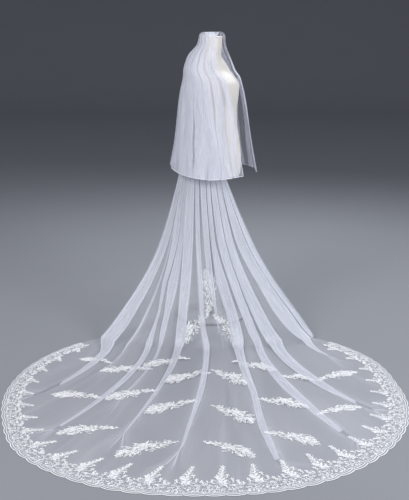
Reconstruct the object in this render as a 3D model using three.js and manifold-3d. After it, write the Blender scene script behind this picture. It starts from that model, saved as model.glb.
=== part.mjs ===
// A two tier bridal veil on a limbless dress form and its round stand.
// Millimetres, +Z up. The origin is on the floor, in the middle of the stand's underside.
// The form faces to the right and a little forward, along FACING. The train falls over its near side
// and spreads over the floor towards -Y.
import * as THREE from 'three';
import { mergeVertices } from 'three/addons/utils/BufferGeometryUtils.js';
import Module from 'manifold-3d';

const wasm = await Module();
wasm.setup();

// Walls and gaps
const TULLE = 1.5;
const LACE = 1.5;
const SEAM_GAP = 0.3;
const FLOOR_MID = TULLE / 2;

// The dress form
const FACING_ANGLE = -30;
const NECK_TOP = 1530;
const FORM_SIDES = 24;
const BUST = { height: 1290, apart: 34, spread: 24, tall: 42, rise: 7 };
const FORM_RINGS = [
  { height: 800, width: 138, depth: 96, forward: 45 },
  { height: 812, width: 148, depth: 104, forward: 45 },
  { height: 900, width: 150, depth: 108, forward: 45 },
  { height: 1000, width: 130, depth: 100, forward: 45 },
  { height: 1080, width: 118, depth: 92, forward: 42 },
  { height: 1160, width: 124, depth: 94, forward: 36 },
  { height: 1230, width: 142, depth: 102, forward: 33 },
  { height: 1290, width: 154, depth: 98, forward: 28 },
  { height: 1325, width: 158, depth: 88, forward: 15 },
  { height: 1362, width: 156, depth: 75, forward: -5 },
  { height: 1392, width: 142, depth: 68, forward: -14 },
  { height: 1416, width: 112, depth: 63, forward: -20 },
  { height: 1436, width: 80, depth: 59, forward: -18 },
  { height: 1458, width: 60, depth: 56, forward: -10 },
  { height: 1490, width: 54, depth: 54, forward: -2 },
  { height: NECK_TOP, width: 54, depth: 54, forward: 0 },
];
const CAP = { radius: 56, thick: 6, edge: 2, sides: 24 };
const CAP_TOP = NECK_TOP + SEAM_GAP + CAP.thick;

// The stand
const BASE = { radius: 190, thick: 14, edge: 4, sides: 32 };
const POLE = { radius: 13, sides: 16 };

// The hair comb that both tiers are gathered on
const COMB = { halfLength: 46, halfDepth: 5.9, thick: 5, sides: 28 };
const TEETH = { count: 12, pitch: 6.86, width: 2, thick: 1.5, length: 42 };

// The upper tier, in rings round the form from the comb to the hem
const UPPER_COLUMNS = 56;
const UPPER_RINGS = [
  { height: CAP_TOP + 4, width: 48, depth: 7.5, forward: 0, fold: 0 },
  { height: CAP_TOP + 23, width: 60, depth: 34, forward: 0, fold: 0.8 },
  { height: CAP_TOP + 12, width: 71, depth: 63, forward: 0, fold: 1 },
  { height: 1500, width: 82, depth: 71, forward: -4, fold: 1.6 },
  { height: 1435, width: 142, depth: 98, forward: -20, fold: 3 },
  { height: 1370, width: 192, depth: 108, forward: -16, fold: 4 },
  { height: 1318, width: 198, depth: 134, forward: 0, fold: 4.5 },
  { height: 1252, width: 205, depth: 153, forward: 2, fold: 6 },
  { height: 1156, width: 212, depth: 170, forward: 5, fold: 8 },
  { height: 1000, width: 228, depth: 193, forward: 8, fold: 9 },
  { height: 850, width: 245, depth: 220, forward: 11, fold: 12 },
  { height: 790, width: 252, depth: 229, forward: 12, fold: 12 },
];
const UPPER_GATHER_ROWS = 3;
const UPPER_FIXED_ROWS = 8;
const UPPER_FREE_ROWS = 3;
const UPPER_OPENING = [
  { height: 1570, near: -40, far: 25 },
  { height: 1400, near: -25, far: 24 },
  { height: 1280, near: -20, far: 22 },
  { height: 800, near: -16, far: 20 },
];
const UPPER_HEM = [
  { round: -340, height: 822 },
  { round: -270, height: 838 },
  { round: -220, height: 858 },
  { round: -165, height: 868 },
  { round: -130, height: 850 },
  { round: -90, height: 826 },
  { round: -60, height: 815 },
  { round: -16, height: 822 },
];
const UPPER_WAVES = [
  { count: 14, phase: 0.2, share: 0.62 },
  { count: 9, phase: 0.55, share: 0.38 },
];

// The train on the form, from the comb down to the hip
const TRAIN_COLUMNS = 56;
const TRAIN_RINGS = [
  { height: CAP_TOP + 1.2, width: 51.5, depth: 10.5, forward: 0, fold: 0, turn: 0 },
  { height: CAP_TOP + 13, width: 58, depth: 30, forward: 0, fold: 0.4, turn: 0 },
  { height: CAP_TOP + 7, width: 63, depth: 59, forward: 0, fold: 0.5, turn: 0.02 },
  { height: 1500, width: 66, depth: 62, forward: -3, fold: 0.8, turn: 0.06 },
  { height: 1436, width: 108, depth: 77, forward: -21, fold: 2, turn: 0.14 },
  { height: 1370, width: 170, depth: 88, forward: -10, fold: 3, turn: 0.26 },
  { height: 1200, width: 180, depth: 138, forward: 0, fold: 5, turn: 0.52 },
  { height: 1010, width: 192, depth: 154, forward: 0, fold: 7, turn: 0.8 },
  { height: 820, width: 195, depth: 164, forward: 0, fold: 8, turn: 1 },
];
// Below the hip the cloth leans out to the landing line, and past it glides down to the floor.
const TRAIN_FALL = [
  { height: 690, lean: 0.085, past: 0, fold: 12 },
  { height: 550, lean: 0.19, past: 0, fold: 16 },
  { height: 410, lean: 0.32, past: 0, fold: 19 },
  { height: 280, lean: 0.485, past: 0, fold: 22 },
  { height: 165, lean: 0.675, past: 0, fold: 23 },
  { height: 82, lean: 0.835, past: 0, fold: 22 },
  { height: 36, lean: 0.93, past: 0, fold: 20 },
  { height: 12, lean: 1, past: 0, fold: 18 },
  { height: 3, lean: 1, past: 0.45, fold: 17 },
  { height: 0, lean: 1, past: 1, fold: 16 },
];
const GLIDE = { most: 75, share: 0.3 };
// On the floor each strand turns outwards to the flat band inside the hem, and then crosses it.
const TRAIN_FLOOR = [
  { run: 0.2, fold: 15 },
  { run: 0.44, fold: 12 },
  { run: 0.7, fold: 8 },
  { run: 1, fold: 0 },
];
const FLOOR_TURN = 0.35;
// Strands of the train, from its left edge to its right edge: where each one leaves the comb and the
// hip, as an angle round the form, where it lands, how it bows out on the way, and where it meets the
// hem.
const STRANDS = [
  { across: 0, comb: -270, hip: -146, landX: -530, landY: -340, bow: -0.1, hem: -141 },
  { across: 0.06, comb: -259, hip: -141, landX: -578, landY: -425, bow: -0.1, hem: -122 },
  { across: 0.15, comb: -243, hip: -133, landX: -478, landY: -465, bow: -0.06, hem: -80 },
  { across: 0.27, comb: -221, hip: -116, landX: -318, landY: -490, bow: 0, hem: -52 },
  { across: 0.38, comb: -202, hip: -96, landX: -165, landY: -505, bow: 0, hem: -28 },
  { across: 0.48, comb: -184, hip: -78, landX: -25, landY: -512, bow: 0, hem: -8 },
  { across: 0.58, comb: -166, hip: -62, landX: 115, landY: -505, bow: 0.05, hem: 20 },
  { across: 0.69, comb: -146, hip: -50, landX: 243, landY: -485, bow: 0.1, hem: 50 },
  { across: 0.79, comb: -128, hip: -41, landX: 360, landY: -455, bow: 0.2, hem: 73 },
  { across: 0.88, comb: -112, hip: -36, landX: 478, landY: -425, bow: 0.28, hem: 100 },
  { across: 0.95, comb: -99, hip: -33, landX: 528, landY: -395, bow: 0.28, hem: 123 },
  { across: 1, comb: -90, hip: -32, landX: 470, landY: -320, bow: 0.28, hem: 141 },
];
const TRAIN_FOLDS = [
  { at: 0.055, half: 0.03, height: 0.5 },
  { at: 0.15, half: 0.05, height: 1 },
  { at: 0.212, half: 0.022, height: 0.5 },
  { at: 0.27, half: 0.036, height: 0.9 },
  { at: 0.325, half: 0.022, height: 0.45 },
  { at: 0.38, half: 0.034, height: 0.85 },
  { at: 0.43, half: 0.022, height: 0.4 },
  { at: 0.48, half: 0.026, height: 1 },
  { at: 0.53, half: 0.022, height: 0.35 },
  { at: 0.58, half: 0.034, height: 0.85 },
  { at: 0.635, half: 0.022, height: 0.5 },
  { at: 0.69, half: 0.036, height: 1 },
  { at: 0.742, half: 0.022, height: 0.4 },
  { at: 0.79, half: 0.036, height: 0.95 },
  { at: 0.84, half: 0.022, height: 0.45 },
  { at: 0.88, half: 0.03, height: 0.8 },
  { at: 0.94, half: 0.03, height: 0.45 },
];

// The hem on the floor, as a distance from its middle at an angle from -Y
const HEM_MIDDLE = { x: -40, y: -1150 };
const HEM_REACH = [
  { angle: -144, reach: 940 },
  { angle: -120, reach: 920 },
  { angle: -95, reach: 886 },
  { angle: -75, reach: 872 },
  { angle: -52, reach: 899 },
  { angle: -25, reach: 890 },
  { angle: 0, reach: 866 },
  { angle: 30, reach: 880 },
  { angle: 60, reach: 880 },
  { angle: 95, reach: 882 },
  { angle: 120, reach: 935 },
  { angle: 144, reach: 958 },
];
// The train lies flat this close to the hem, looked for in small steps back along each strand.
const HEM_FLAT = 215;
const FLAT_STEP = 0.01;
const FLAT_LEAST = 0.5;

// The lace border on the hem, shallower towards its ends
const BORDER = { repeats: 28, from: -137, to: 137, beyond: 7, scallop: 9, band: 92, spray: 205 };
const BORDER_DEPTH = [
  { angle: -137, share: 0.42 },
  { angle: -100, share: 0.55 },
  { angle: -75, share: 0.64 },
  { angle: -50, share: 0.78 },
  { angle: -20, share: 0.95 },
  { angle: 10, share: 1 },
  { angle: 35, share: 0.95 },
  { angle: 60, share: 0.8 },
  { angle: 90, share: 0.66 },
  { angle: 137, share: 0.42 },
];
const BORDER_EDGE = [
  { step: 0, out: 0 },
  { step: 0.14, out: 0.85 },
  { step: 0.36, out: 0.85 },
  { step: 0.5, out: 0 },
  { step: 0.64, out: 0.85 },
  { step: 0.86, out: 0.85 },
];
// The inner edge of one repeat: a bay, and one leafy spray
const BORDER_SPRAY = [
  { step: 0.04, bay: 0.62, rise: 0 },
  { step: 0.26, bay: 1, rise: 0.14 },
  { step: 0.44, bay: 1, rise: 0.62 },
  { step: 0.58, bay: 1, rise: 1 },
  { step: 0.74, bay: 1, rise: 0.25 },
];
const BORDER_GAPS = [
  { step: 0.06, deep: 0.3, wide: 0.045, half: 12 },
  { step: 0.52, deep: 0.34, wide: 0.045, half: 12 },
  { step: 0.9, deep: 0.34, wide: 0.04, half: 11 },
  { step: 0.3, deep: 0.62, wide: 0.05, half: 15 },
  { step: 0.74, deep: 0.6, wide: 0.05, half: 15 },
];

// Lace motifs on the train: their middle on the floor, or the height where they hang, their turn
// from +X, and how long they are. A hanging motif is placed by how far across and how high it is.
const MOTIF_OUTLINE = [
  { along: -1, upper: 0.0, lower: 0.0 },
  { along: -0.55, upper: 0.07, lower: -0.08 },
  { along: -0.15, upper: 0.26, lower: -0.2 },
  { along: 0.2, upper: 0.3, lower: -0.36 },
  { along: 0.5, upper: 0.34, lower: -0.28 },
  { along: 0.8, upper: 0.18, lower: -0.24 },
  { along: 1, upper: 0.0, lower: 0.0 },
];
const MOTIF_GAP = { along: 0.2, across: 0, long: 0.1, wide: 0.08 };
const MOTIF_BEND = { most: 0.16, middle: 0.3 };
// How far a motif reaches through the layer that it is cut from, and over how many columns of the train
// the slope under a hanging motif is evened out.
const MOTIF_REACH = 60;
const MOTIF_EVEN = 3;
const MOTIFS = [
  { name: 'motif_hanging_middle', across: 0.506, height: 240, turn: 94, length: 240, flip: 1 },
  { name: 'motif_hanging_left', across: 0.42, height: 58, turn: 232, length: 225, flip: 1 },
  { name: 'motif_hanging_right', across: 0.57, height: 54, turn: -54, length: 225, flip: -1 },
  { name: 'motif_inner_1', x: -570, y: -715, turn: 160, length: 170, flip: 1 },
  { name: 'motif_inner_2', x: -412, y: -830, turn: 185, length: 240, flip: 1 },
  { name: 'motif_inner_3', x: -226, y: -735, turn: 203, length: 235, flip: 1 },
  { name: 'motif_inner_4', x: 207, y: -790, turn: -28, length: 235, flip: -1 },
  { name: 'motif_inner_5', x: 392, y: -938, turn: -20, length: 165, flip: -1 },
  { name: 'motif_inner_6', x: 572, y: -912, turn: 30, length: 225, flip: -1 },
  { name: 'motif_middle_1', x: -128, y: -932, turn: 212, length: 245, flip: 1 },
  { name: 'motif_middle_2', x: 82, y: -930, turn: -52, length: 250, flip: -1 },
  { name: 'motif_middle_3', x: -365, y: -1125, turn: 205, length: 245, flip: 1 },
  { name: 'motif_middle_4', x: -606, y: -1140, turn: 170, length: 225, flip: 1 },
  { name: 'motif_middle_5', x: 300, y: -1218, turn: -24, length: 235, flip: -1 },
  { name: 'motif_middle_6', x: 530, y: -1295, turn: 22, length: 205, flip: -1 },
  { name: 'motif_outer_1', x: -192, y: -1262, turn: 210, length: 250, flip: 1 },
  { name: 'motif_outer_2', x: 84, y: -1335, turn: -48, length: 245, flip: -1 },
  { name: 'motif_outer_3', x: -516, y: -1488, turn: 192, length: 240, flip: 1 },
  { name: 'motif_outer_4', x: 315, y: -1558, turn: -28, length: 235, flip: -1 },
  { name: 'motif_outer_5', x: -268, y: -1650, turn: 208, length: 260, flip: 1 },
  { name: 'motif_outer_6', x: 60, y: -1655, turn: -34, length: 230, flip: -1 },
];

// Finishes
const tulleFinish = new THREE.MeshStandardMaterial({ color: 0xd9dcf2, roughness: 0.75 });
const laceFinish = new THREE.MeshStandardMaterial({ color: 0xf4f3f0, roughness: 0.85 });
const formFinish = new THREE.MeshStandardMaterial({ color: 0xece5d8, roughness: 0.6 });
const capFinish = new THREE.MeshStandardMaterial({ color: 0xe6e2da, roughness: 0.4 });
const standFinish = new THREE.MeshStandardMaterial({ color: 0x8d8f95, roughness: 0.45 });
const combFinish = new THREE.MeshStandardMaterial({ color: 0xf2f2f2, roughness: 0.3 });

const radians = THREE.MathUtils.degToRad;
const facing = new THREE.Vector3(Math.cos(radians(FACING_ANGLE)), Math.sin(radians(FACING_ANGLE)), 0);
const shoulder = new THREE.Vector3(-facing.y, facing.x, 0);
const up = new THREE.Vector3(0, 0, 1);

// Reads a column of a table between its rows, along a key that rises or falls.
function read(table, key, at, column) {
  const rising = table[table.length - 1][key] > table[0][key];
  const rows = rising ? table : [...table].reverse();
  if (at <= rows[0][key]) return rows[0][column];
  for (let i = 1; i < rows.length; i += 1) {
    if (at <= rows[i][key]) {
      const share = (at - rows[i - 1][key]) / (rows[i][key] - rows[i - 1][key]);
      return THREE.MathUtils.lerp(rows[i - 1][column], rows[i][column], share);
    }
  }
  return rows[rows.length - 1][column];
}

// A point of an oval ring round the form, moved straight out by some distance.
function ringPoint(ring, height, angle, out = 0) {
  const c = Math.cos(radians(angle));
  const s = Math.sin(radians(angle));
  const outward = new THREE.Vector2(c / ring.depth, s / ring.width).normalize();
  const along = ring.forward + ring.depth * c + out * outward.x;
  const aside = ring.width * s + out * outward.y;
  const flat = facing.clone().multiplyScalar(along).addScaledVector(shoulder, aside);
  return new THREE.Vector3(flat.x, flat.y, height);
}

// The face direction at each point of a grid of rows and columns.
function gridNormals(grid) {
  const last = grid.length - 1;
  const end = grid[0].length - 1;
  return grid.map((row, r) => row.map((point, c) => {
    const down = grid[Math.min(r + 1, last)][c].clone().sub(grid[Math.max(r - 1, 0)][c]);
    const aside = row[Math.min(c + 1, end)].clone().sub(row[Math.max(c - 1, 0)]);
    return down.cross(aside).normalize();
  }));
}

// A closed wall between two distances from a grid of points.
function wall(grid, normals, inner, outer) {
  const rows = grid.length;
  const columns = grid[0].length;
  const last = rows - 1;
  const end = columns - 1;
  const positions = [];
  for (const distance of [outer, inner]) {
    grid.forEach((row, r) => row.forEach((point, c) => {
      const moved = point.clone().addScaledVector(normals[r][c], distance);
      positions.push(moved.x, moved.y, moved.z);
    }));
  }
  const index = [];
  const at = (side, r, c) => side * rows * columns + r * columns + c;
  const quad = (a, b, c, d) => index.push(a, b, c, a, c, d);
  for (let r = 0; r < last; r += 1) {
    for (let c = 0; c < end; c += 1) {
      quad(at(0, r, c), at(0, r + 1, c), at(0, r + 1, c + 1), at(0, r, c + 1));
      quad(at(1, r, c), at(1, r, c + 1), at(1, r + 1, c + 1), at(1, r + 1, c));
    }
  }
  for (let r = 0; r < last; r += 1) {
    quad(at(0, r, 0), at(1, r, 0), at(1, r + 1, 0), at(0, r + 1, 0));
    quad(at(0, r, end), at(0, r + 1, end), at(1, r + 1, end), at(1, r, end));
  }
  for (let c = 0; c < end; c += 1) {
    quad(at(0, 0, c), at(0, 0, c + 1), at(1, 0, c + 1), at(1, 0, c));
    quad(at(0, last, c), at(1, last, c), at(1, last, c + 1), at(0, last, c + 1));
  }
  const geometry = new THREE.BufferGeometry();
  geometry.setAttribute('position', new THREE.Float32BufferAttribute(positions, 3));
  geometry.setIndex(index);
  return geometry;
}

function toSolid(geometry) {
  const bare = geometry.clone();
  bare.deleteAttribute('normal');
  bare.deleteAttribute('uv');
  const merged = mergeVertices(bare, 1e-4);
  return new wasm.Manifold(new wasm.Mesh({
    numProp: 3,
    vertProperties: new Float32Array(merged.attributes.position.array),
    triVerts: new Uint32Array(merged.index.array),
  }));
}

function toGeometry(solid) {
  const mesh = solid.getMesh();
  const geometry = new THREE.BufferGeometry();
  geometry.setAttribute('position', new THREE.Float32BufferAttribute(mesh.vertProperties, 3));
  geometry.setIndex(Array.from(mesh.triVerts));
  return geometry;
}

// A flat outline with gaps, each turned the way that an extrusion needs.
function shapeWithGaps(outline, gaps) {
  const turned = (points, clockwise) => {
    const right = THREE.ShapeUtils.isClockWise(points) === clockwise;
    return right ? points : points.reverse();
  };
  const shape = new THREE.Shape(turned(outline, false));
  shape.holes = gaps.map((corners) => new THREE.Path(turned(corners, true)));
  return shape;
}

function named(name, geometry, material) {
  const mesh = new THREE.Mesh(geometry, material);
  mesh.name = name;
  return mesh;
}

// The torso: oval rings with a soft bust, closed above and below.
function torso() {
  const rings = FORM_RINGS.map((ring) => {
    const points = [];
    for (let i = 0; i < FORM_SIDES; i += 1) {
      const angle = (360 * i) / FORM_SIDES;
      const turn = angle > 180 ? angle - 360 : angle;
      const high = Math.exp(-(((ring.height - BUST.height) / BUST.tall) ** 2));
      const aside = Math.exp(-(((Math.abs(turn) - BUST.apart) / BUST.spread) ** 2));
      points.push(ringPoint(ring, ring.height, angle, BUST.rise * high * aside));
    }
    return points;
  });
  const positions = rings.flat().flatMap((p) => [p.x, p.y, p.z]);
  const index = [];
  const at = (r, i) => r * FORM_SIDES + (i % FORM_SIDES);
  for (let r = 0; r < rings.length - 1; r += 1) {
    for (let i = 0; i < FORM_SIDES; i += 1) {
      index.push(at(r, i), at(r, i + 1), at(r + 1, i + 1));
      index.push(at(r, i), at(r + 1, i + 1), at(r + 1, i));
    }
  }
  for (const [ring, order] of [[0, -1], [rings.length - 1, 1]]) {
    const middle = positions.length / 3;
    const centre = ringPoint({ ...FORM_RINGS[ring], width: 1, depth: 1 }, FORM_RINGS[ring].height, 90);
    positions.push(centre.x, centre.y, centre.z);
    for (let i = 0; i < FORM_SIDES; i += 1) {
      const pair = order > 0 ? [at(ring, i), at(ring, i + 1)] : [at(ring, i + 1), at(ring, i)];
      index.push(middle, ...pair);
    }
  }
  const geometry = new THREE.BufferGeometry();
  geometry.setAttribute('position', new THREE.Float32BufferAttribute(positions, 3));
  geometry.setIndex(index);
  return named('form_torso', geometry, formFinish);
}

function lathed(name, profile, sides, material) {
  const geometry = new THREE.LatheGeometry(profile.map(([r, z]) => new THREE.Vector2(r, z)), sides);
  geometry.rotateX(Math.PI / 2);
  return named(name, geometry, material);
}

function neckCap() {
  const low = NECK_TOP + SEAM_GAP;
  const profile = [
    [0, low],
    [CAP.radius, low],
    [CAP.radius, CAP_TOP - CAP.edge],
    [CAP.radius - CAP.edge, CAP_TOP],
    [0, CAP_TOP],
  ];
  return lathed('form_neck_cap', profile, CAP.sides, capFinish);
}

function stand() {
  const pole = [
    [0, BASE.thick + SEAM_GAP],
    [POLE.radius, BASE.thick + SEAM_GAP],
    [POLE.radius, FORM_RINGS[0].height - SEAM_GAP],
    [0, FORM_RINGS[0].height - SEAM_GAP],
  ];
  const base = [
    [0, 0],
    [BASE.radius, 0],
    [BASE.radius, BASE.thick - BASE.edge],
    [BASE.radius - BASE.edge, BASE.thick],
    [0, BASE.thick],
  ];
  return [
    lathed('stand_pole', pole, POLE.sides, standFinish),
    lathed('stand_base', base, BASE.sides, standFinish),
  ];
}

// The comb lies on the neck cap, with its bar across the form and its teeth towards the front.
function comb() {
  const bar = new THREE.CylinderGeometry(1, 1, COMB.thick, COMB.sides);
  bar.rotateX(Math.PI / 2);
  bar.scale(COMB.halfDepth, COMB.halfLength, 1);
  bar.translate(0, 0, CAP_TOP + SEAM_GAP + COMB.thick / 2);
  let solid = toSolid(bar);
  for (let i = 0; i < TEETH.count; i += 1) {
    const tooth = new THREE.BoxGeometry(TEETH.length, TEETH.width, TEETH.thick);
    const aside = (i - (TEETH.count - 1) / 2) * TEETH.pitch;
    tooth.translate(TEETH.length / 2, aside, CAP_TOP + SEAM_GAP + TEETH.thick / 2);
    solid = solid.add(toSolid(tooth));
  }
  const geometry = toGeometry(solid);
  geometry.rotateZ(radians(FACING_ANGLE));
  return named('veil_comb', geometry, combFinish);
}

// The upper tier: rings round the form that stay open at its front.
function upperTierGrid() {
  const hanging = UPPER_RINGS.slice(UPPER_GATHER_ROWS);
  const ringAt = (height) => ({
    width: read(hanging, 'height', height, 'width'),
    depth: read(hanging, 'height', height, 'depth'),
    forward: read(hanging, 'height', height, 'forward'),
    fold: read(hanging, 'height', height, 'fold'),
  });
  const point = (ring, height, across) => {
    const near = read(UPPER_OPENING, 'height', height, 'near');
    const far = read(UPPER_OPENING, 'height', height, 'far') - 360;
    const angle = THREE.MathUtils.lerp(far, near, across);
    const waves = UPPER_WAVES.reduce(
      (sum, wave) => sum + wave.share * Math.sin(2 * Math.PI * (wave.count * across + wave.phase)),
      0,
    );
    return ringPoint(ring, height, angle, ring.fold * waves);
  };
  const grid = [];
  const columns = Array.from({ length: UPPER_COLUMNS + 1 }, (_, c) => c / UPPER_COLUMNS);
  for (const ring of UPPER_RINGS.slice(0, UPPER_FIXED_ROWS)) {
    grid.push(columns.map((across) => point(ring, ring.height, across)));
  }
  const start = UPPER_RINGS[UPPER_FIXED_ROWS - 1].height;
  const farEdge = UPPER_HEM[0].round;
  const nearEdge = UPPER_HEM[UPPER_HEM.length - 1].round;
  for (let i = 1; i <= UPPER_FREE_ROWS; i += 1) {
    grid.push(columns.map((across) => {
      const round = THREE.MathUtils.lerp(farEdge, nearEdge, across);
      const hem = read(UPPER_HEM, 'round', round, 'height');
      const height = THREE.MathUtils.lerp(start, hem, i / UPPER_FREE_ROWS);
      return point(ringAt(height), height, across);
    }));
  }
  return grid;
}

function upperTier() {
  const grid = upperTierGrid();
  return named('veil_upper_tier', wall(grid, gridNormals(grid), -TULLE / 2, TULLE / 2), tulleFinish);
}

// How far a fold stands out of the train, from 0 to 1, at a place across it.
function foldAt(across) {
  return TRAIN_FOLDS.reduce((most, fold) => {
    const off = Math.abs(across - fold.at) / fold.half;
    const rise = off < 1 ? fold.height * Math.cos((off * Math.PI) / 2) ** 2 : 0;
    return Math.max(most, rise);
  }, 0);
}

// A point of the hem at an angle, moved in from the edge by some depth.
function hemPoint(angle, depth = 0) {
  const reach = read(HEM_REACH, 'angle', angle, 'reach') - depth;
  const a = radians(angle);
  return new THREE.Vector3(HEM_MIDDLE.x + reach * Math.sin(a), HEM_MIDDLE.y - reach * Math.cos(a), 0);
}

// The train: the comb, the form's near side, the fall to the floor and the round spread.
function trainGrid() {
  const columns = Array.from({ length: TRAIN_COLUMNS + 1 }, (_, c) => c / TRAIN_COLUMNS);
  const strand = (across, column) => read(STRANDS, 'across', across, column);
  const plain = TRAIN_RINGS.map((ring) => columns.map((across) => {
    const angle = THREE.MathUtils.lerp(strand(across, 'comb'), strand(across, 'hip'), ring.turn);
    return ringPoint(ring, ring.height, angle);
  }));
  const hip = plain[plain.length - 1];
  const landing = (across) => [strand(across, 'landX'), strand(across, 'landY'), FLOOR_MID];
  const land = columns.map((across) => new THREE.Vector3(...landing(across)));
  const hem = columns.map((across) => hemPoint(strand(across, 'hem')).setZ(FLOOR_MID));
  const onFloor = (c, share) => {
    const control = land[c].clone();
    control.y -= FLOOR_TURN * land[c].distanceTo(hem[c]);
    return new THREE.QuadraticBezierCurve3(land[c], control, hem[c]).getPoint(share);
  };
  const glides = columns.map((across, c) => {
    const run = land[c].distanceTo(hem[c]);
    return Math.min(GLIDE.most, GLIDE.share * run) / run;
  });
  for (const row of TRAIN_FALL) {
    plain.push(columns.map((across, c) => {
      const lean = row.lean * (1 + strand(across, 'bow') * (1 - row.lean));
      const foot = row.past > 0 ? onFloor(c, row.past * glides[c]) : land[c];
      return hip[c].clone().lerp(foot, lean).setZ(row.height + FLOOR_MID);
    }));
  }
  const fromHem = (point) => Math.min(...hem.map((edge) => edge.distanceTo(point)));
  const flatStarts = columns.map((across, c) => {
    let share = 1;
    while (share > FLAT_LEAST && fromHem(onFloor(c, share)) < HEM_FLAT) share -= FLAT_STEP;
    return share;
  });
  for (const row of TRAIN_FLOOR) {
    const share = (c) => THREE.MathUtils.lerp(glides[c], flatStarts[c], row.run);
    plain.push(columns.map((across, c) => onFloor(c, share(c))));
  }
  plain.push(hem);
  const lying = TRAIN_RINGS.length + TRAIN_FALL.length - 1;
  const heights = [...TRAIN_RINGS, ...TRAIN_FALL, ...TRAIN_FLOOR, { fold: 0 }].map((row) => row.fold);
  const normals = gridNormals(plain);
  return plain.map((row, r) => row.map((point, c) => {
    const rise = r > lying ? Math.min(1, fromHem(land[c]) / HEM_FLAT - 1) : 1;
    const normal = r < lying ? normals[r][c] : up;
    return point.clone().addScaledVector(normal, heights[r] * foldAt(columns[c]) * Math.max(0, rise));
  }));
}

// The lace border: a scalloped band on the hem with leafy sprays and gaps that go right through.
function borderPoint(along, depth) {
  const angle = THREE.MathUtils.lerp(BORDER.from, BORDER.to, along);
  return hemPoint(angle, depth);
}

function border() {
  const pitch = 1 / BORDER.repeats;
  const shareAt = (along) => {
    const angle = THREE.MathUtils.lerp(BORDER.from, BORDER.to, along);
    return read(BORDER_DEPTH, 'angle', angle, 'share');
  };
  const bandAt = (along) => BORDER.band * Math.sqrt(shareAt(along));
  const outer = [];
  const inner = [];
  const gaps = [];
  const flat = (points) => points.map((p) => new THREE.Vector2(p.x, p.y));
  for (let i = 0; i < BORDER.repeats; i += 1) {
    for (const row of BORDER_EDGE) {
      outer.push(borderPoint((i + row.step) * pitch, -BORDER.beyond + BORDER.scallop * (1 - row.out)));
    }
    for (const row of BORDER_SPRAY) {
      const along = (i + row.step) * pitch;
      const bay = bandAt(along) * row.bay;
      inner.push(borderPoint(along, THREE.MathUtils.lerp(bay, BORDER.spray * shareAt(along), row.rise)));
    }
    for (const gap of BORDER_GAPS) {
      const along = (i + gap.step) * pitch;
      const deep = bandAt(along) * gap.deep;
      const half = gap.half * shareAt(along);
      const wide = gap.wide * pitch;
      gaps.push(flat([
        borderPoint(along - wide, deep),
        borderPoint(along, deep + half),
        borderPoint(along + wide, deep),
        borderPoint(along, deep - half),
      ]));
    }
  }
  const slab = (shape, depth, low) => {
    const geometry = new THREE.ExtrudeGeometry(shape, { depth, bevelEnabled: false });
    geometry.translate(0, 0, low);
    return toSolid(geometry);
  };
  const low = TULLE + SEAM_GAP;
  const band = slab(shapeWithGaps(flat([...outer, ...inner.reverse()]), []), LACE, low);
  const cuts = gaps.map((corners) => slab(shapeWithGaps(corners, []), LACE * 3, low - LACE));
  return named('lace_border', toGeometry(band.subtract(wasm.Manifold.union(cuts))), laceFinish);
}

// One lace motif: a bent leafy outline with a gap, cut right through a layer that lies on the train.
function motifPrism(motif) {
  const half = motif.length / 2;
  const bend = ({ x, y }) => {
    const rise = MOTIF_BEND.most * half * ((x / half) ** 2 - MOTIF_BEND.middle);
    return new THREE.Vector2(x, (y + rise) * motif.flip);
  };
  const edge = (rows, key) => rows.map((row) => bend({ x: row.along * half, y: row[key] * half }));
  const upper = edge(MOTIF_OUTLINE, 'upper');
  const lower = edge(MOTIF_OUTLINE.slice(1, -1), 'lower');
  const { along, across, long, wide } = MOTIF_GAP;
  const gap = [
    bend({ x: (along - long) * half, y: across * half }),
    bend({ x: along * half, y: (across + wide) * half }),
    bend({ x: (along + long) * half, y: across * half }),
    bend({ x: along * half, y: (across - wide) * half }),
  ];
  const shape = shapeWithGaps([...upper, ...lower.reverse()], [gap]);
  const geometry = new THREE.ExtrudeGeometry(shape, { depth: 2 * MOTIF_REACH, bevelEnabled: false });
  geometry.translate(0, 0, -MOTIF_REACH);
  return geometry;
}

// The place on the train at a share across it and a height above the floor.
function hangingPlace(grid, normals, across, height) {
  const c = Math.round(across * TRAIN_COLUMNS);
  const first = TRAIN_RINGS.length - 1;
  for (let r = first; r < grid.length - 1; r += 1) {
    const high = grid[r][c];
    const low = grid[r + 1][c];
    if (low.z <= height) {
      const share = (high.z - height) / (high.z - low.z);
      const even = normals[r][c - MOTIF_EVEN].clone().add(normals[r][c]).add(normals[r][c + MOTIF_EVEN]);
      return { point: high.clone().lerp(low, share), normal: even.normalize() };
    }
  }
  return { point: grid[first][c], normal: normals[first][c] };
}

function motifs(grid, normals) {
  const start = TRAIN_RINGS.length - 1;
  const inner = TULLE / 2 + SEAM_GAP;
  const layer = toSolid(wall(grid.slice(start), normals.slice(start), inner, inner + LACE));
  return MOTIFS.map((motif) => {
    const lies = motif.height === undefined;
    const place = lies
      ? { point: new THREE.Vector3(motif.x, motif.y, FLOOR_MID), normal: up }
      : hangingPlace(grid, normals, motif.across, motif.height);
    const side = lies ? new THREE.Vector3(1, 0, 0) : up.clone().cross(place.normal).normalize();
    const rise = place.normal.clone().cross(side);
    const basis = new THREE.Matrix4().makeBasis(side, rise, place.normal).setPosition(place.point);
    const prism = motifPrism(motif);
    prism.rotateZ(radians(motif.turn));
    prism.applyMatrix4(basis);
    const solid = layer.intersect(toSolid(prism));
    const largest = solid.decompose().sort((a, b) => b.volume() - a.volume())[0];
    return named(motif.name, toGeometry(largest), laceFinish);
  });
}

const part = new THREE.Group();
const train = trainGrid();
const trainNormals = gridNormals(train);
part.add(torso());
part.add(neckCap());
part.add(...stand());
part.add(comb());
part.add(upperTier());
part.add(named('veil_train', wall(train, trainNormals, -TULLE / 2, TULLE / 2), tulleFinish));
part.add(border());
part.add(...motifs(train, trainNormals));

export default part;
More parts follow.
